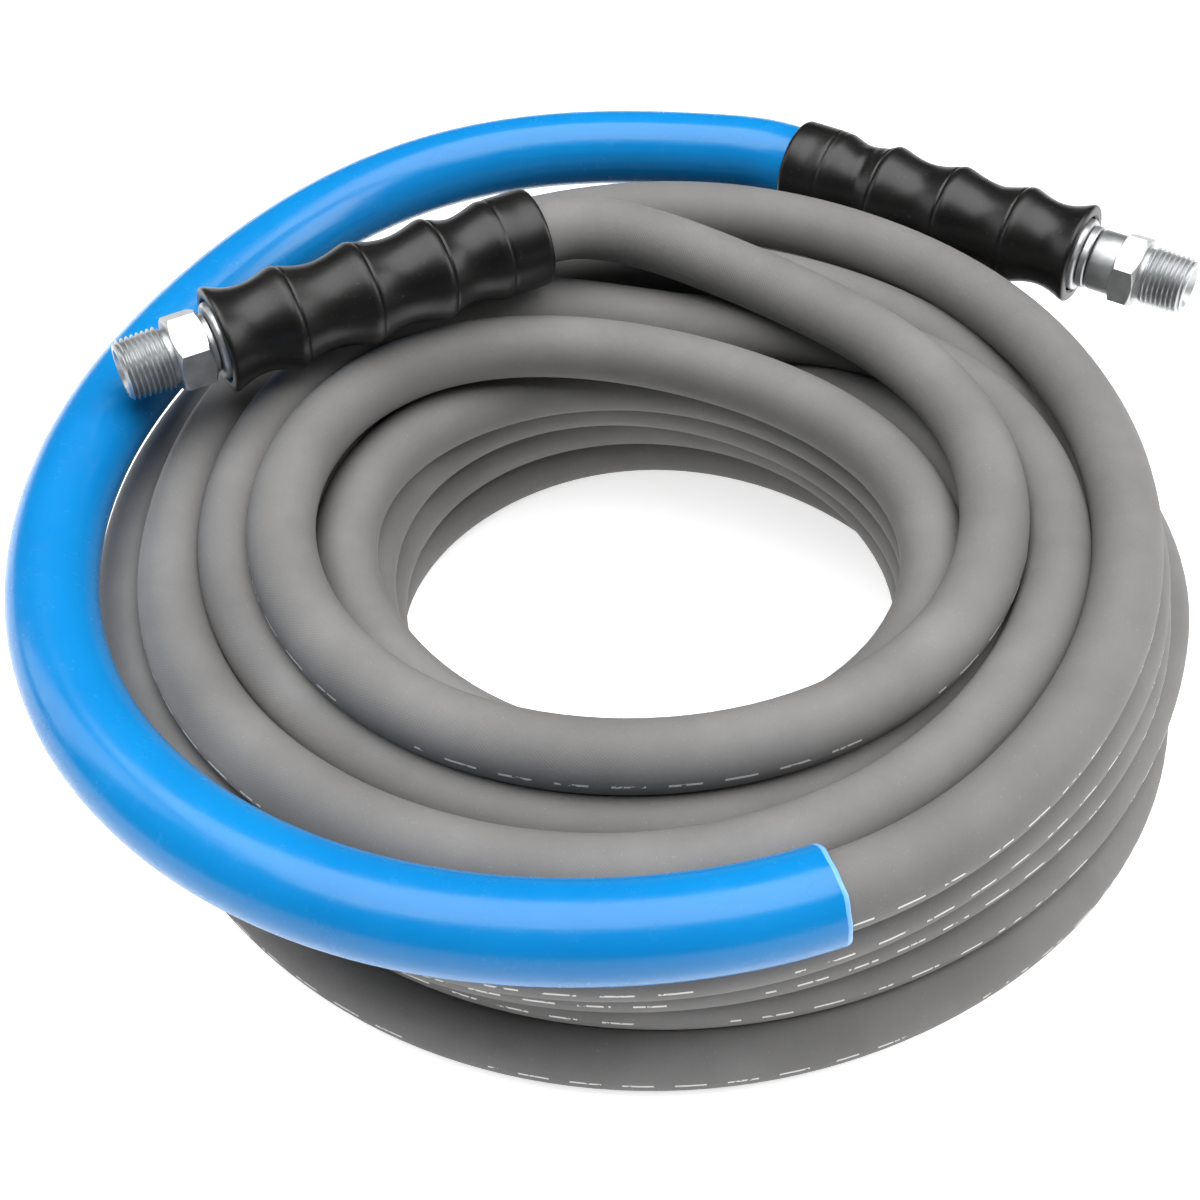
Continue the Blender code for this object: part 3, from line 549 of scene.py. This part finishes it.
def line_frames(points):
    """Tangent, level outward side and the side square to both at each point of a line."""
    tangent = np.gradient(points, axis=0)
    tangent /= np.linalg.norm(tangent, axis=1)[:, None]
    out = np.cross(np.array([0.0, 0.0, 1.0]), tangent)
    out /= np.linalg.norm(out, axis=1)[:, None]
    up = np.cross(tangent, out)
    return tangent, out, up


def tube_rings(points, radii, angles):
    """Rings round a line: point + radius * (cos angle * outward + sin angle * up)."""
    tangent, out, up = line_frames(points)
    radii = np.broadcast_to(radii, (len(points), len(angles)))
    angles = angles[None, :, None]
    ring = np.cos(angles) * out[:, None] + np.sin(angles) * up[:, None]
    return points[:, None] + radii[..., None] * ring


# Materials


def add(tree, kind, inputs=(), output=0, stops=(), **settings):
    """Add a node with its settings, and give back one of its outputs.

    Inputs are in order or by name, and each is a value or another node's output. Stops are the
    places and colours of a colour ramp.
    """
    node = tree.nodes.new("ShaderNode" + kind)
    for key, value in settings.items():
        setattr(node, key, value)
    named = inputs if isinstance(inputs, dict) else dict(enumerate(inputs))
    for key, value in named.items():
        if isinstance(value, bpy.types.NodeSocket):
            tree.links.new(value, node.inputs[key])
        else:
            node.inputs[key].default_value = value
    if stops:
        elements = node.color_ramp.elements
        elements[0].position, elements[0].color = stops[0]
        elements[1].position, elements[1].color = stops[-1]
        for place, colour in stops[1:-1]:
            elements.new(place).color = colour
    return node.outputs[output]


def new_material(name):
    """Empty material and its node tree."""
    finish = bpy.data.materials.new(name)
    finish.use_nodes = True
    finish.node_tree.nodes.clear()
    return finish, finish.node_tree


def shade(finish, inputs):
    """Give a material a Principled shader with these inputs, and give the material back."""
    tree = finish.node_tree
    output = tree.nodes.new("ShaderNodeOutputMaterial")
    tree.links.new(add(tree, "BsdfPrincipled", inputs), output.inputs["Surface"])
    return finish


def grain(size):
    """Scale of a noise with grains of about a size in millimetres."""
    return 1.0 / (size * MM)


def line_mask(tree, across, middle, half_width):
    """One on a line where a coordinate is near a value, nought beside it."""
    off = add(tree, "Math", (across, middle), operation="SUBTRACT")
    off = add(tree, "Math", (off,), operation="ABSOLUTE")
    return add(tree, "Math", (off, half_width), operation="LESS_THAN")


def beat_mask(tree, along, pitch, share):
    """One over the first share of each pitch along a piece, nought over the rest of it."""
    beat = add(tree, "Math", (along, pitch * MM), operation="DIVIDE")
    beat = add(tree, "Math", (beat,), operation="FRACT")
    return add(tree, "Math", (beat, share), operation="LESS_THAN")


def dusted(tree, grains, least, colour, dust):
    """Colour with specks of a paler dust, where a noise of the given grains is above a value."""
    speck = add(tree, "TexNoise", grains)
    speck = add(tree, "Math", (speck, least), operation="GREATER_THAN")
    speck = add(tree, "Math", (speck, DUST_MIX), operation="MULTIPLY")
    return add(tree, "Mix", {0: speck, 6: colour, 7: linear(dust)}, 2, data_type="RGBA")


def uv_parts(tree):
    """Share of a turn round a piece, and the length along it in metres."""
    parts = add(tree, "SeparateXYZ", (add(tree, "TexCoord", output="UV"),)).node.outputs
    return parts["X"], parts["Y"]


def hose_rubber():
    """Hose cover: extruded synthetic rubber, cured in a cloth wrap.

    It is a matte warm grey. Talc and handling leave it cloudy, the wrap leaves a fine weave,
    and a broken white line is printed along it. The weave is sin(threads round) times
    sin(threads along).
    """
    finish, tree = new_material("hose_rubber")
    place = add(tree, "TexCoord", output="Object")
    across, along = uv_parts(tree)
    talc = {"Vector": place, "Scale": grain(41.667), "Detail": 5.0, "Roughness": 0.58}
    cloud = add(tree, "TexNoise", talc)
    colour = add(tree, "ValToRGB", (cloud,), stops=[
        (0.28, linear("#676665")), (0.50, linear("#6F6E6D")), (0.74, linear("#7A7978")),
    ])
    specks = {"Vector": place, "Scale": grain(0.66667), "Detail": 2.0}
    colour = dusted(tree, specks, 0.70, colour, "#B4B3B2")
    weft = add(tree, "Math", (across, 2.0 * math.pi * WEAVE_THREADS), operation="MULTIPLY")
    weft = add(tree, "Math", (weft,), operation="SINE")
    warp = add(tree, "Math", (along, 2.0 * math.pi / (WEAVE_PITCH * MM)), operation="MULTIPLY")
    warp = add(tree, "Math", (warp,), operation="SINE")
    weave = add(tree, "Math", (weft, warp), operation="MULTIPLY")
    turn = add(tree, "Math", (across, 10.0), operation="ADD")
    turn = add(tree, "Math", (turn,), operation="FRACT")
    mark = line_mask(tree, turn, 0.5, 0.5 * PRINT_WIDTH / (2.0 * math.pi * HOSE_RADIUS))
    worn = add(tree, "TexNoise", {"Vector": place, "Scale": grain(2.381), "Detail": 3.0})
    kept = add(tree, "Math", (worn, 0.42), operation="GREATER_THAN")
    dash = beat_mask(tree, along, DASH_PITCH, DASH_SHARE)
    group = beat_mask(tree, along, DASH_GROUP, DASH_GROUP_SHARE)
    for part in (dash, group, kept, PRINT_COVER):
        mark = add(tree, "Math", (mark, part), operation="MULTIPLY")
    colour = add(tree, "Mix", {0: mark, 6: colour, 7: linear("#E4E2DE")}, 2, data_type="RGBA")
    rough = add(tree, "MapRange", {"Value": cloud, "To Min": 0.58, "To Max": 0.72})
    fine = add(tree, "TexNoise", {"Vector": place, "Scale": grain(1.4286), "Detail": 4.0})
    weave = add(tree, "Math", (weave, 0.30), operation="MULTIPLY")
    relief = add(tree, "Math", (fine, weave), operation="ADD")
    bump = add(tree, "Bump", {"Height": relief, "Strength": 0.22, "Distance": 0.2 * MM})
    return shade(finish, {
        "Base Color": colour, "Roughness": rough, "Normal": bump, "Specular IOR Level": 0.22,
    })


def sleeve_plastic():
    """Sleeve: thin extruded blue polyethylene tube.

    The wall is slightly clear, so light shows in it. Its skin is glossy, with long draw lines
    and small scuffs, and a pale painted highlight runs round its cut edge.
    """
    finish, tree = new_material("sleeve_plastic")
    place = add(tree, "TexCoord", output="Object")
    across, along = uv_parts(tree)
    cloud = add(tree, "TexNoise", {"Vector": place, "Scale": grain(62.5), "Detail": 3.0})
    colour = add(tree, "ValToRGB", (cloud,), stops=[(0.3, linear("#0870B0")), (0.7, linear("#0C7ABA"))])
    # Painted highlight: a thin band at the cut end is mixed towards pale blue
    edge = add(tree, "Math", (along, SLEEVE_EDGE_HIGHLIGHT * MM), operation="LESS_THAN")
    edge = add(tree, "Math", (edge, 0.55), operation="MULTIPLY")
    colour = add(tree, "Mix", {0: edge, 6: colour, 7: linear("#8FC2F2")}, 2, data_type="RGBA")
    round_part = add(tree, "Math", (across, DRAW_LINES), operation="MULTIPLY")
    along_part = add(tree, "Math", (along, grain(166.667)), operation="MULTIPLY")
    drawn = add(tree, "CombineXYZ", {"X": round_part, "Y": along_part})
    drawn = add(tree, "TexNoise", {"Vector": drawn, "Scale": 1.0, "Detail": 3.0})
    wear = {"Vector": place, "Scale": grain(6.25), "Detail": 6.0, "Roughness": 0.7}
    scuff = add(tree, "TexNoise", wear)
    spread = {"Value": scuff, "From Min": 0.35, "From Max": 0.75, "To Min": 0.18, "To Max": 0.32}
    rough = add(tree, "MapRange", spread)
    bump = add(tree, "Bump", {"Height": drawn, "Strength": 0.12, "Distance": 0.3 * MM})
    return shade(finish, {
        "Base Color": colour, "Roughness": rough, "Normal": bump, "Specular IOR Level": 0.32,
        "Subsurface Weight": 0.15, "Subsurface Radius": (0.2, 0.6, 1.0), "Subsurface Scale": 3.0 * MM,
    })


def boot_rubber():
    """Boots: moulded soft vinyl rubber, nearly black with a satin skin.

    A fine parting line runs along both sides, where the halves of the mould met.
    """
    finish, tree = new_material("boot_rubber")
    place = add(tree, "TexCoord", output="Object")
    across = uv_parts(tree)[0]
    cloud = add(tree, "TexNoise", {"Vector": place, "Scale": grain(16.667), "Detail": 5.0})
    colour = add(tree, "ValToRGB", (cloud,), stops=[(0.3, linear("#090808")), (0.7, linear("#11100F"))])
    specks = {"Vector": place, "Scale": grain(1.1111), "Detail": 3.0}
    colour = dusted(tree, specks, 0.68, colour, "#6A6560")
    rough = add(tree, "MapRange", {"Value": cloud, "To Min": 0.30, "To Max": 0.44})
    side = add(tree, "Math", (across, 2.0), operation="MULTIPLY")
    side = add(tree, "Math", (side,), operation="FRACT")
    parting = line_mask(tree, side, 0.5, 0.005)
    fine = add(tree, "TexNoise", {"Vector": place, "Scale": grain(2.0), "Detail": 4.0})
    fine = add(tree, "Math", (fine, 0.35), operation="MULTIPLY")
    relief = add(tree, "Math", (fine, parting), operation="ADD")
    bump = add(tree, "Bump", {"Height": relief, "Strength": 0.35, "Distance": 0.2 * MM})
    return shade(finish, {
        "Base Color": colour, "Roughness": rough, "Normal": bump, "Specular IOR Level": 0.38,
    })


def zinc_steel():
    """Fittings: turned bar steel with a bright zinc plating.

    The cutting tool leaves fine rings round the axis, and the plating is a little cloudy.
    """
    finish, tree = new_material("zinc_steel")
    place = add(tree, "TexCoord", output="Object")
    across, along = uv_parts(tree)
    cloud = add(tree, "TexNoise", {"Vector": place, "Scale": grain(4.5455), "Detail": 5.0})
    colour = add(tree, "ValToRGB", (cloud,), stops=[(0.3, linear("#A8AAAB")), (0.7, linear("#C2C4C5"))])
    rough = add(tree, "MapRange", {"Value": cloud, "To Min": 0.38, "To Max": 0.54})
    round_part = add(tree, "Math", (across, 2.0), operation="MULTIPLY")
    along_part = add(tree, "Math", (along, grain(0.11111)), operation="MULTIPLY")
    rings = add(tree, "CombineXYZ", {"X": round_part, "Y": along_part})
    rings = add(tree, "TexNoise", {"Vector": rings, "Scale": 1.0, "Detail": 2.0})
    bump = add(tree, "Bump", {"Height": rings, "Strength": 0.25, "Distance": 0.05 * MM})
    return shade(finish, {"Base Color": colour, "Roughness": rough, "Normal": bump, "Metallic": 1.0})


def light_table():
    """Floor: a white acrylic light table, lit softly from below."""
    finish = new_material("light_table")[0]
    return shade(finish, {
        "Base Color": linear("#E6E6E6"), "Roughness": 0.6,
        "Emission Color": linear("#FFFFFF"), "Emission Strength": 0.66,
    })


# Camera


def make_camera():
    """Camera of the photograph, from its focal length, pitch and roll."""
    data = bpy.data.cameras.new("camera")
    data.sensor_width = SENSOR_WIDTH
    data.lens = FOCAL_PIXELS * SENSOR_WIDTH / PHOTO_PIXELS
    data.clip_start = 0.01
    pitch = math.radians(CAMERA_PITCH)
    roll = math.radians(CAMERA_ROLL)
    right = Vector((1.0, 0.0, 0.0))
    ahead = Vector((0.0, math.cos(pitch), -math.sin(pitch)))
    up = Vector((0.0, math.sin(pitch), math.cos(pitch)))
    across = math.cos(roll) * right + math.sin(roll) * up
    above = math.cos(roll) * up - math.sin(roll) * right
    camera = bpy.data.objects.new("camera", data)
    turn = Matrix((across, above, -ahead)).transposed().to_4x4()
    camera.matrix_world = Matrix.Translation(Vector(CAMERA_PLACE) * MM) @ turn
    bpy.context.scene.collection.objects.link(camera)
    bpy.context.scene.camera = camera


make_camera()

inlet = End(INLET_CUFF, INLET_TOWARDS)
outlet = End(OUTLET_CUFF, OUTLET_TOWARDS)
rubber = hose_rubber()
blue = sleeve_plastic()
black = boot_rubber()
zinc = zinc_steel()

line, sleeve_start = hose_line(inlet, outlet)


def make_hose():
    """Hose: a ring of r = HOSE_RADIUS at each point of its line, and a short bore at both ends."""
    points, along = smooth_line(line, HOSE_RING_STEP)
    angles = around(HOSE_SIDES)
    rings = tube_rings(points, HOSE_RADIUS, angles)
    deep = int(math.ceil(HOSE_BORE_DEPTH / HOSE_RING_STEP))
    bore = tube_rings(points, HOSE_BORE, angles)
    rings = np.concatenate([bore[[deep]], bore[[0]], rings, bore[[-1]], bore[[-1 - deep]]])
    ring_along = np.concatenate([along[[deep, 0]], along, along[[-1, -1 - deep]]])
    piece = new_piece("hose", rings, ring_along, rubber, "hose", closed=False, shift=PRINT_TURN)
    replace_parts(piece, "hose_coil", "hose_lead_inlet", "hose_lead_outlet")
    return piece, points


def make_sleeve():
    """Sleeve: outer wall, cut end and inner wall in one closed skin round the hose line.

    The open end is cut by hand, so its edge leans and waves along the line by the sum of
    height * sin(count * angle + phase).
    """
    total = lengths(line)[-1]
    points, along = smooth_line(line, SLEEVE_RING_STEP, sleeve_start, total - BOOT_LENGTH + SLEEVE_TUCK)
    along = along - along[0]
    angles = around(SLEEVE_SIDES)
    lip = np.array(SLEEVE_LIP)
    first = smooth_line(line, SLEEVE_RING_STEP, sleeve_start, sleeve_start + SLEEVE_RING_STEP)[0]
    near = first[0] + (first[1] - first[0]) * (lip / SLEEVE_RING_STEP)[:, None]
    points = np.concatenate([near, points[1:]])
    along = np.concatenate([lip, along[1:]])
    outside = np.full(len(points), SLEEVE_RADIUS)
    outside[:2] -= SLEEVE_LIP_CUT
    inside = np.full(len(points), SLEEVE_RADIUS - SLEEVE_WALL)
    inside[0] += SLEEVE_LIP_BORE
    outer = tube_rings(points, outside[:, None], angles)
    inner = tube_rings(points, inside[:, None], angles)
    heading = unit(points[1] - points[0])
    wave = sum(height * np.sin(count * angles + phase) for count, height, phase in SLEEVE_WAVES)
    for rings in (outer, inner):
        rings[:3] += np.multiply.outer(np.multiply.outer(SLEEVE_LIP_WAVE, wave), heading)
    rings = np.concatenate([outer, inner[::-1]])
    piece = new_piece("sleeve", rings, np.concatenate([along, along[::-1]]), blue, "hose")
    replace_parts(piece, "abrasion_sleeve")
    return piece


def boot_radius(depth):
    """Outer radius of a boot at a depth behind its flange face.

    Between the ridges it sags in wide hollows, r = neck + (ridge - neck) * (1 - hollow), where
    hollow is a rounded sine, and just behind each ridge a fine crease runs round it.
    """
    span = np.clip(np.searchsorted(RIDGES_AT, depth) - 1, 0, len(RIDGES_AT) - 2)
    low, high = np.array(RIDGES_AT)[span], np.array(RIDGES_AT)[span + 1]
    share = np.clip((depth - low) / (high - low), 0.0, 1.0)
    ridge = np.interp(depth, RIDGES_AT, RIDGE_RADII)
    hollow = np.sqrt(np.sin(math.pi * share) ** 2 + RIDGE_ROUND ** 2) - RIDGE_ROUND
    hollow /= math.sqrt(1.0 + RIDGE_ROUND ** 2) - RIDGE_ROUND
    shape = ridge - (ridge - NECK_RADIUS) * hollow
    for at in RIDGES_AT[1:]:
        shape = shape - CREASE_DEPTH * np.exp(-((depth - at - CREASE_BEHIND) / CREASE_WIDTH) ** 2)
    return shape


def make_boot(name, end, hole, dents):
    """Boot: rings behind the flange face, r = boot_radius(depth) less the dents, and its bore.

    Each dent is a depth, an angle, its lengths along and round, and how deep it is pressed, and
    takes press * exp(-(way along / length along)^2 - (way round / length round)^2) off.
    """
    lip = np.array(BOOT_LIP)
    depth = np.concatenate([lip, steps(1.3, BOOT_LENGTH - 1.6, BOOT_STEP), BOOT_LENGTH - lip[::-1]])
    angles = around(BOOT_SIDES)
    radius = boot_radius(depth)
    radius[:4] -= BOOT_FACE_CUT
    radius[-4:] -= BOOT_CUFF_CUT
    radius = np.repeat(radius[:, None], BOOT_SIDES, axis=1)
    for at, angle, reach, width, press in dents:
        turn = (angles - angle + math.pi) % (2.0 * math.pi) - math.pi
        radius -= press * np.exp(-((depth[:, None] - at) / reach) ** 2 - (turn[None] / width) ** 2)
    bore_depth = np.array([0.0, 0.6, FERRULE_LENGTH - 1.0, FERRULE_LENGTH, 80.0, 93.5, BOOT_LENGTH])
    seat = FERRULE_RADIUS + FERRULE_SLACK
    bore_radius = np.array([seat + 0.9, seat + 0.3, seat, hole, hole, hole, hole + 0.5])
    bore = np.repeat(bore_radius[:, None], BOOT_SIDES, axis=1)
    stations = -np.concatenate([depth[::-1], bore_depth])
    rings = end.rings(stations, np.concatenate([radius[::-1], bore]), angles)
    piece = new_piece(name, rings, stations, black, "hose")
    return piece


def make_shell(name, end):
    """Ferrule: pressed steel shell with a rolled front edge, in one closed skin.

    r = the shell's radius - FLAT_DEPTH * |cos(4 * angle)| for the eight crimped flats, less a
    slight ripple round it.
    """
    angles = around(FITTING_SIDES)
    inner = HOSE_RADIUS + SHELL_SLACK
    stations, cut = np.array(SHELL_PROFILE).T
    outside = FERRULE_RADIUS - cut
    flats = FLAT_DEPTH * np.abs(np.cos(SHELL_FLATS / 2.0 * angles))
    flats += SHELL_RIPPLE * np.sin(13.0 * angles + 0.4)
    radius = outside[:, None] - flats[None]
    hole = INSERT_RADIUS + INSERT_SLACK
    bore_at = np.array([FERRULE_PROUD, -SHELL_FLOOR, -SHELL_FLOOR, -SHELL_BACK])
    bore_radius = np.array([hole, hole, inner, inner])
    bore = np.repeat(bore_radius[:, None], FITTING_SIDES, axis=1)
    every = np.concatenate([stations, bore_at])
    rings = end.rings(every, np.concatenate([radius, bore]), angles)
    piece = new_piece(name, rings, every, zinc, "hose")
    return piece


def turned_part(name, end, outer, bore, body):
    """Turned fitting: an outer skin of (stations, radii) pieces and a bore in one closed skin.

    Radii are numbers, or functions of station and angle for a hexagon or a thread.
    """
    angles = around(FITTING_SIDES)
    stations, rows = [], []
    for at, radius in outer + bore:
        at = np.atleast_1d(np.asarray(at, float))
        if callable(radius):
            row = radius(at[:, None], angles[None])
        else:
            row = np.broadcast_to(np.atleast_1d(np.asarray(radius, float))[:, None], (len(at), 1))
        stations.append(at)
        rows.append(np.broadcast_to(row, (len(at), FITTING_SIDES)))
    every = np.concatenate(stations)
    rings = end.rings(every, np.concatenate(rows), angles)
    piece = new_piece(name, rings, every, zinc, body)
    return piece


def thread_rows(base):
    """Stations of the relief and thread that stand on a base, and their radius function."""
    top = base + RELIEF_LENGTH + THREAD_LENGTH
    return steps(base, top, THREAD_PITCH / 12.0), lambda at, angle: taper_thread(at, angle, base)


def hexagon_rows(low, high):
    """Stations of a hexagon, close together in its chamfers, and its radius function."""
    edge = steps(0.0, HEX_CHAMFER, HEX_CHAMFER / 10.0)
    at = np.concatenate([low + edge, [0.5 * (low + high)], high - edge[::-1]])
    return at, lambda at, angle: hexagon(at, angle, low, high)


def insert_rows():
    """Stations and radii of the insert that goes into the hose."""
    stations = [-INSERT_LENGTH, 1.0 - INSERT_LENGTH, FITTING_BASE]
    return stations, [INSERT_RADIUS - 0.8, INSERT_RADIUS, INSERT_RADIUS]


def make_fitting_inlet():
    """Inlet fitting: insert, shoulder, hexagon and taper thread, with the water way through."""
    low = FITTING_BASE + SHOULDER_LENGTH
    high = low + INLET_HEX_LENGTH
    tip = high + RELIEF_LENGTH + THREAD_LENGTH
    outer = [
        insert_rows(),
        ([FITTING_BASE, FITTING_BASE + 0.25, low],
         [SHOULDER_RADIUS - 0.25, SHOULDER_RADIUS, SHOULDER_RADIUS]),
        hexagon_rows(low, high), thread_rows(high),
    ]
    bore = [([tip, tip - COUNTERSINK, -INSERT_LENGTH], [WATER_WAY + COUNTERSINK, WATER_WAY, WATER_WAY])]
    return turned_part("fitting_inlet", inlet, outer, bore, "hose")


def make_stem_outlet():
    """Outlet stem: insert, collar, neck and the head that holds the swivel."""
    collar = FITTING_BASE + COLLAR_LENGTH
    neck = collar + SWIVEL_GAP + CUP_LIP + SWIVEL_GAP
    head = neck + STEM_HEAD_LENGTH
    outer = [
        insert_rows(),
        ([FITTING_BASE, FITTING_BASE + 0.35, collar - 0.35, collar],
         [COLLAR_RADIUS - 0.35, COLLAR_RADIUS, COLLAR_RADIUS, COLLAR_RADIUS - 0.35]),
        ([collar, neck], STEM_NECK_RADIUS),
        ([neck, head - 0.4, head], [STEM_HEAD_RADIUS, STEM_HEAD_RADIUS, STEM_HEAD_RADIUS - 0.4]),
    ]
    bore = [([head, -INSERT_LENGTH], WATER_WAY)]
    return turned_part("tail_outlet", outlet, outer, bore, "hose")


def make_swivel():
    """Swivel: cup over the stem's head, hexagon and taper thread. It turns on the stem."""
    start = FITTING_BASE + COLLAR_LENGTH + SWIVEL_GAP
    low = start + CUP_LENGTH
    high = low + OUTLET_HEX_LENGTH
    tip = high + RELIEF_LENGTH + THREAD_LENGTH
    room = start + CUP_LIP + 2.0 * SWIVEL_GAP + STEM_HEAD_LENGTH
    wide, lip = STEM_HEAD_RADIUS + SWIVEL_GAP, STEM_NECK_RADIUS + SWIVEL_GAP
    outer = [
        ([start, start + 0.3, start + 0.8, low],
         [CUP_RADIUS - 0.8, CUP_RADIUS - 0.25, CUP_RADIUS, CUP_RADIUS]),
        hexagon_rows(low, high), thread_rows(high),
    ]
    bore = [
        ([tip, tip - COUNTERSINK, room], [WATER_WAY + COUNTERSINK, WATER_WAY, WATER_WAY]),
        ([room, start + CUP_LIP], wide), ([start + CUP_LIP, start], lip),
    ]
    return turned_part("swivel_outlet", outlet, outer, bore, "swivel")


# Dents and wrinkles pressed into the soft boots
INLET_DENTS = [
    (88.0, 1.2, 3.0, 0.5, 0.25), (70.0, 2.4, 4.0, 0.7, 0.30), (30.0, 1.9, 5.0, 0.6, 0.25),
]
OUTLET_DENTS = [
    (74.0, 1.3, 3.0, 0.45, 0.55), (69.5, 1.9, 1.4, 0.7, 0.40), (66.0, 1.1, 1.2, 0.5, 0.35),
    (86.0, 2.2, 2.4, 0.6, 0.35), (80.0, 1.0, 0.8, 0.9, 0.25), (50.0, 1.7, 3.5, 0.5, 0.35),
    (29.0, 1.2, 3.0, 0.5, 0.30),
]

hose, hose_points = make_hose()
make_sleeve()
boot_in = make_boot("boot_inlet", inlet, HOSE_RADIUS + BOOT_SLACK, INLET_DENTS)
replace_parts(boot_in, "bend_restrictor_inlet")
boot_out = make_boot("boot_outlet", outlet, SLEEVE_RADIUS + BOOT_SLACK, OUTLET_DENTS)
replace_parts(boot_out, "bend_restrictor_outlet")
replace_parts(make_shell("shell_inlet", inlet), "ferrule_inlet")
shell_out = make_shell("shell_outlet", outlet)
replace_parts(shell_out, "ferrule_outlet")
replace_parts(make_fitting_inlet(), "stem_inlet")
tail_out = make_stem_outlet()
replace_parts(tail_out, "stem_outlet")
swivel = make_swivel()
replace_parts(swivel, "swivel_nut")


# Floor and light


def make_floor():
    """Level floor under the object."""
    half = 3.0
    corners = [(-half, -half, 0.0), (half, -half, 0.0), (half, half, 0.0), (-half, half, 0.0)]
    mesh = bpy.data.meshes.new("floor")
    mesh.from_pydata(corners, [], [(0, 1, 2, 3)])
    mesh.materials.append(light_table())
    floor = bpy.data.objects.new("floor", mesh)
    bpy.context.scene.collection.objects.link(floor)


def area_light(name, place, target, size, power):
    """Soft white area light at a place in metres that points at a target."""
    data = bpy.data.lights.new(name, "AREA")
    data.shape = "RECTANGLE"
    data.size, data.size_y = size
    data.energy = power
    light = bpy.data.objects.new(name, data)
    aim = Vector(target) - Vector(place)
    light.rotation_euler = aim.to_track_quat("-Z", "Y").to_euler()
    light.location = place
    bpy.context.scene.collection.objects.link(light)


def make_light():
    """Soft light from overhead and both sides, and a pale surround."""
    world = bpy.data.worlds.new("studio")
    world.use_nodes = True
    ground = world.node_tree.nodes["Background"]
    ground.inputs["Color"].default_value = linear("#FFFFFF")
    ground.inputs["Strength"].default_value = 0.04
    bpy.context.scene.world = world
    area_light("overhead", (0.0, 0.0, 1.6), (0.0, 0.0, 0.0), (2.0, 1.8), 58.0)
    area_light("left", (-1.5, 0.3, 0.9), (0.0, 0.0, 0.05), (0.6, 1.4), 8.0)
    area_light("right", (1.5, 0.0, 0.9), (0.0, 0.0, 0.05), (0.6, 1.4), 16.0)


make_floor()
make_light()
bpy.context.scene.view_settings.view_transform = "Standard"
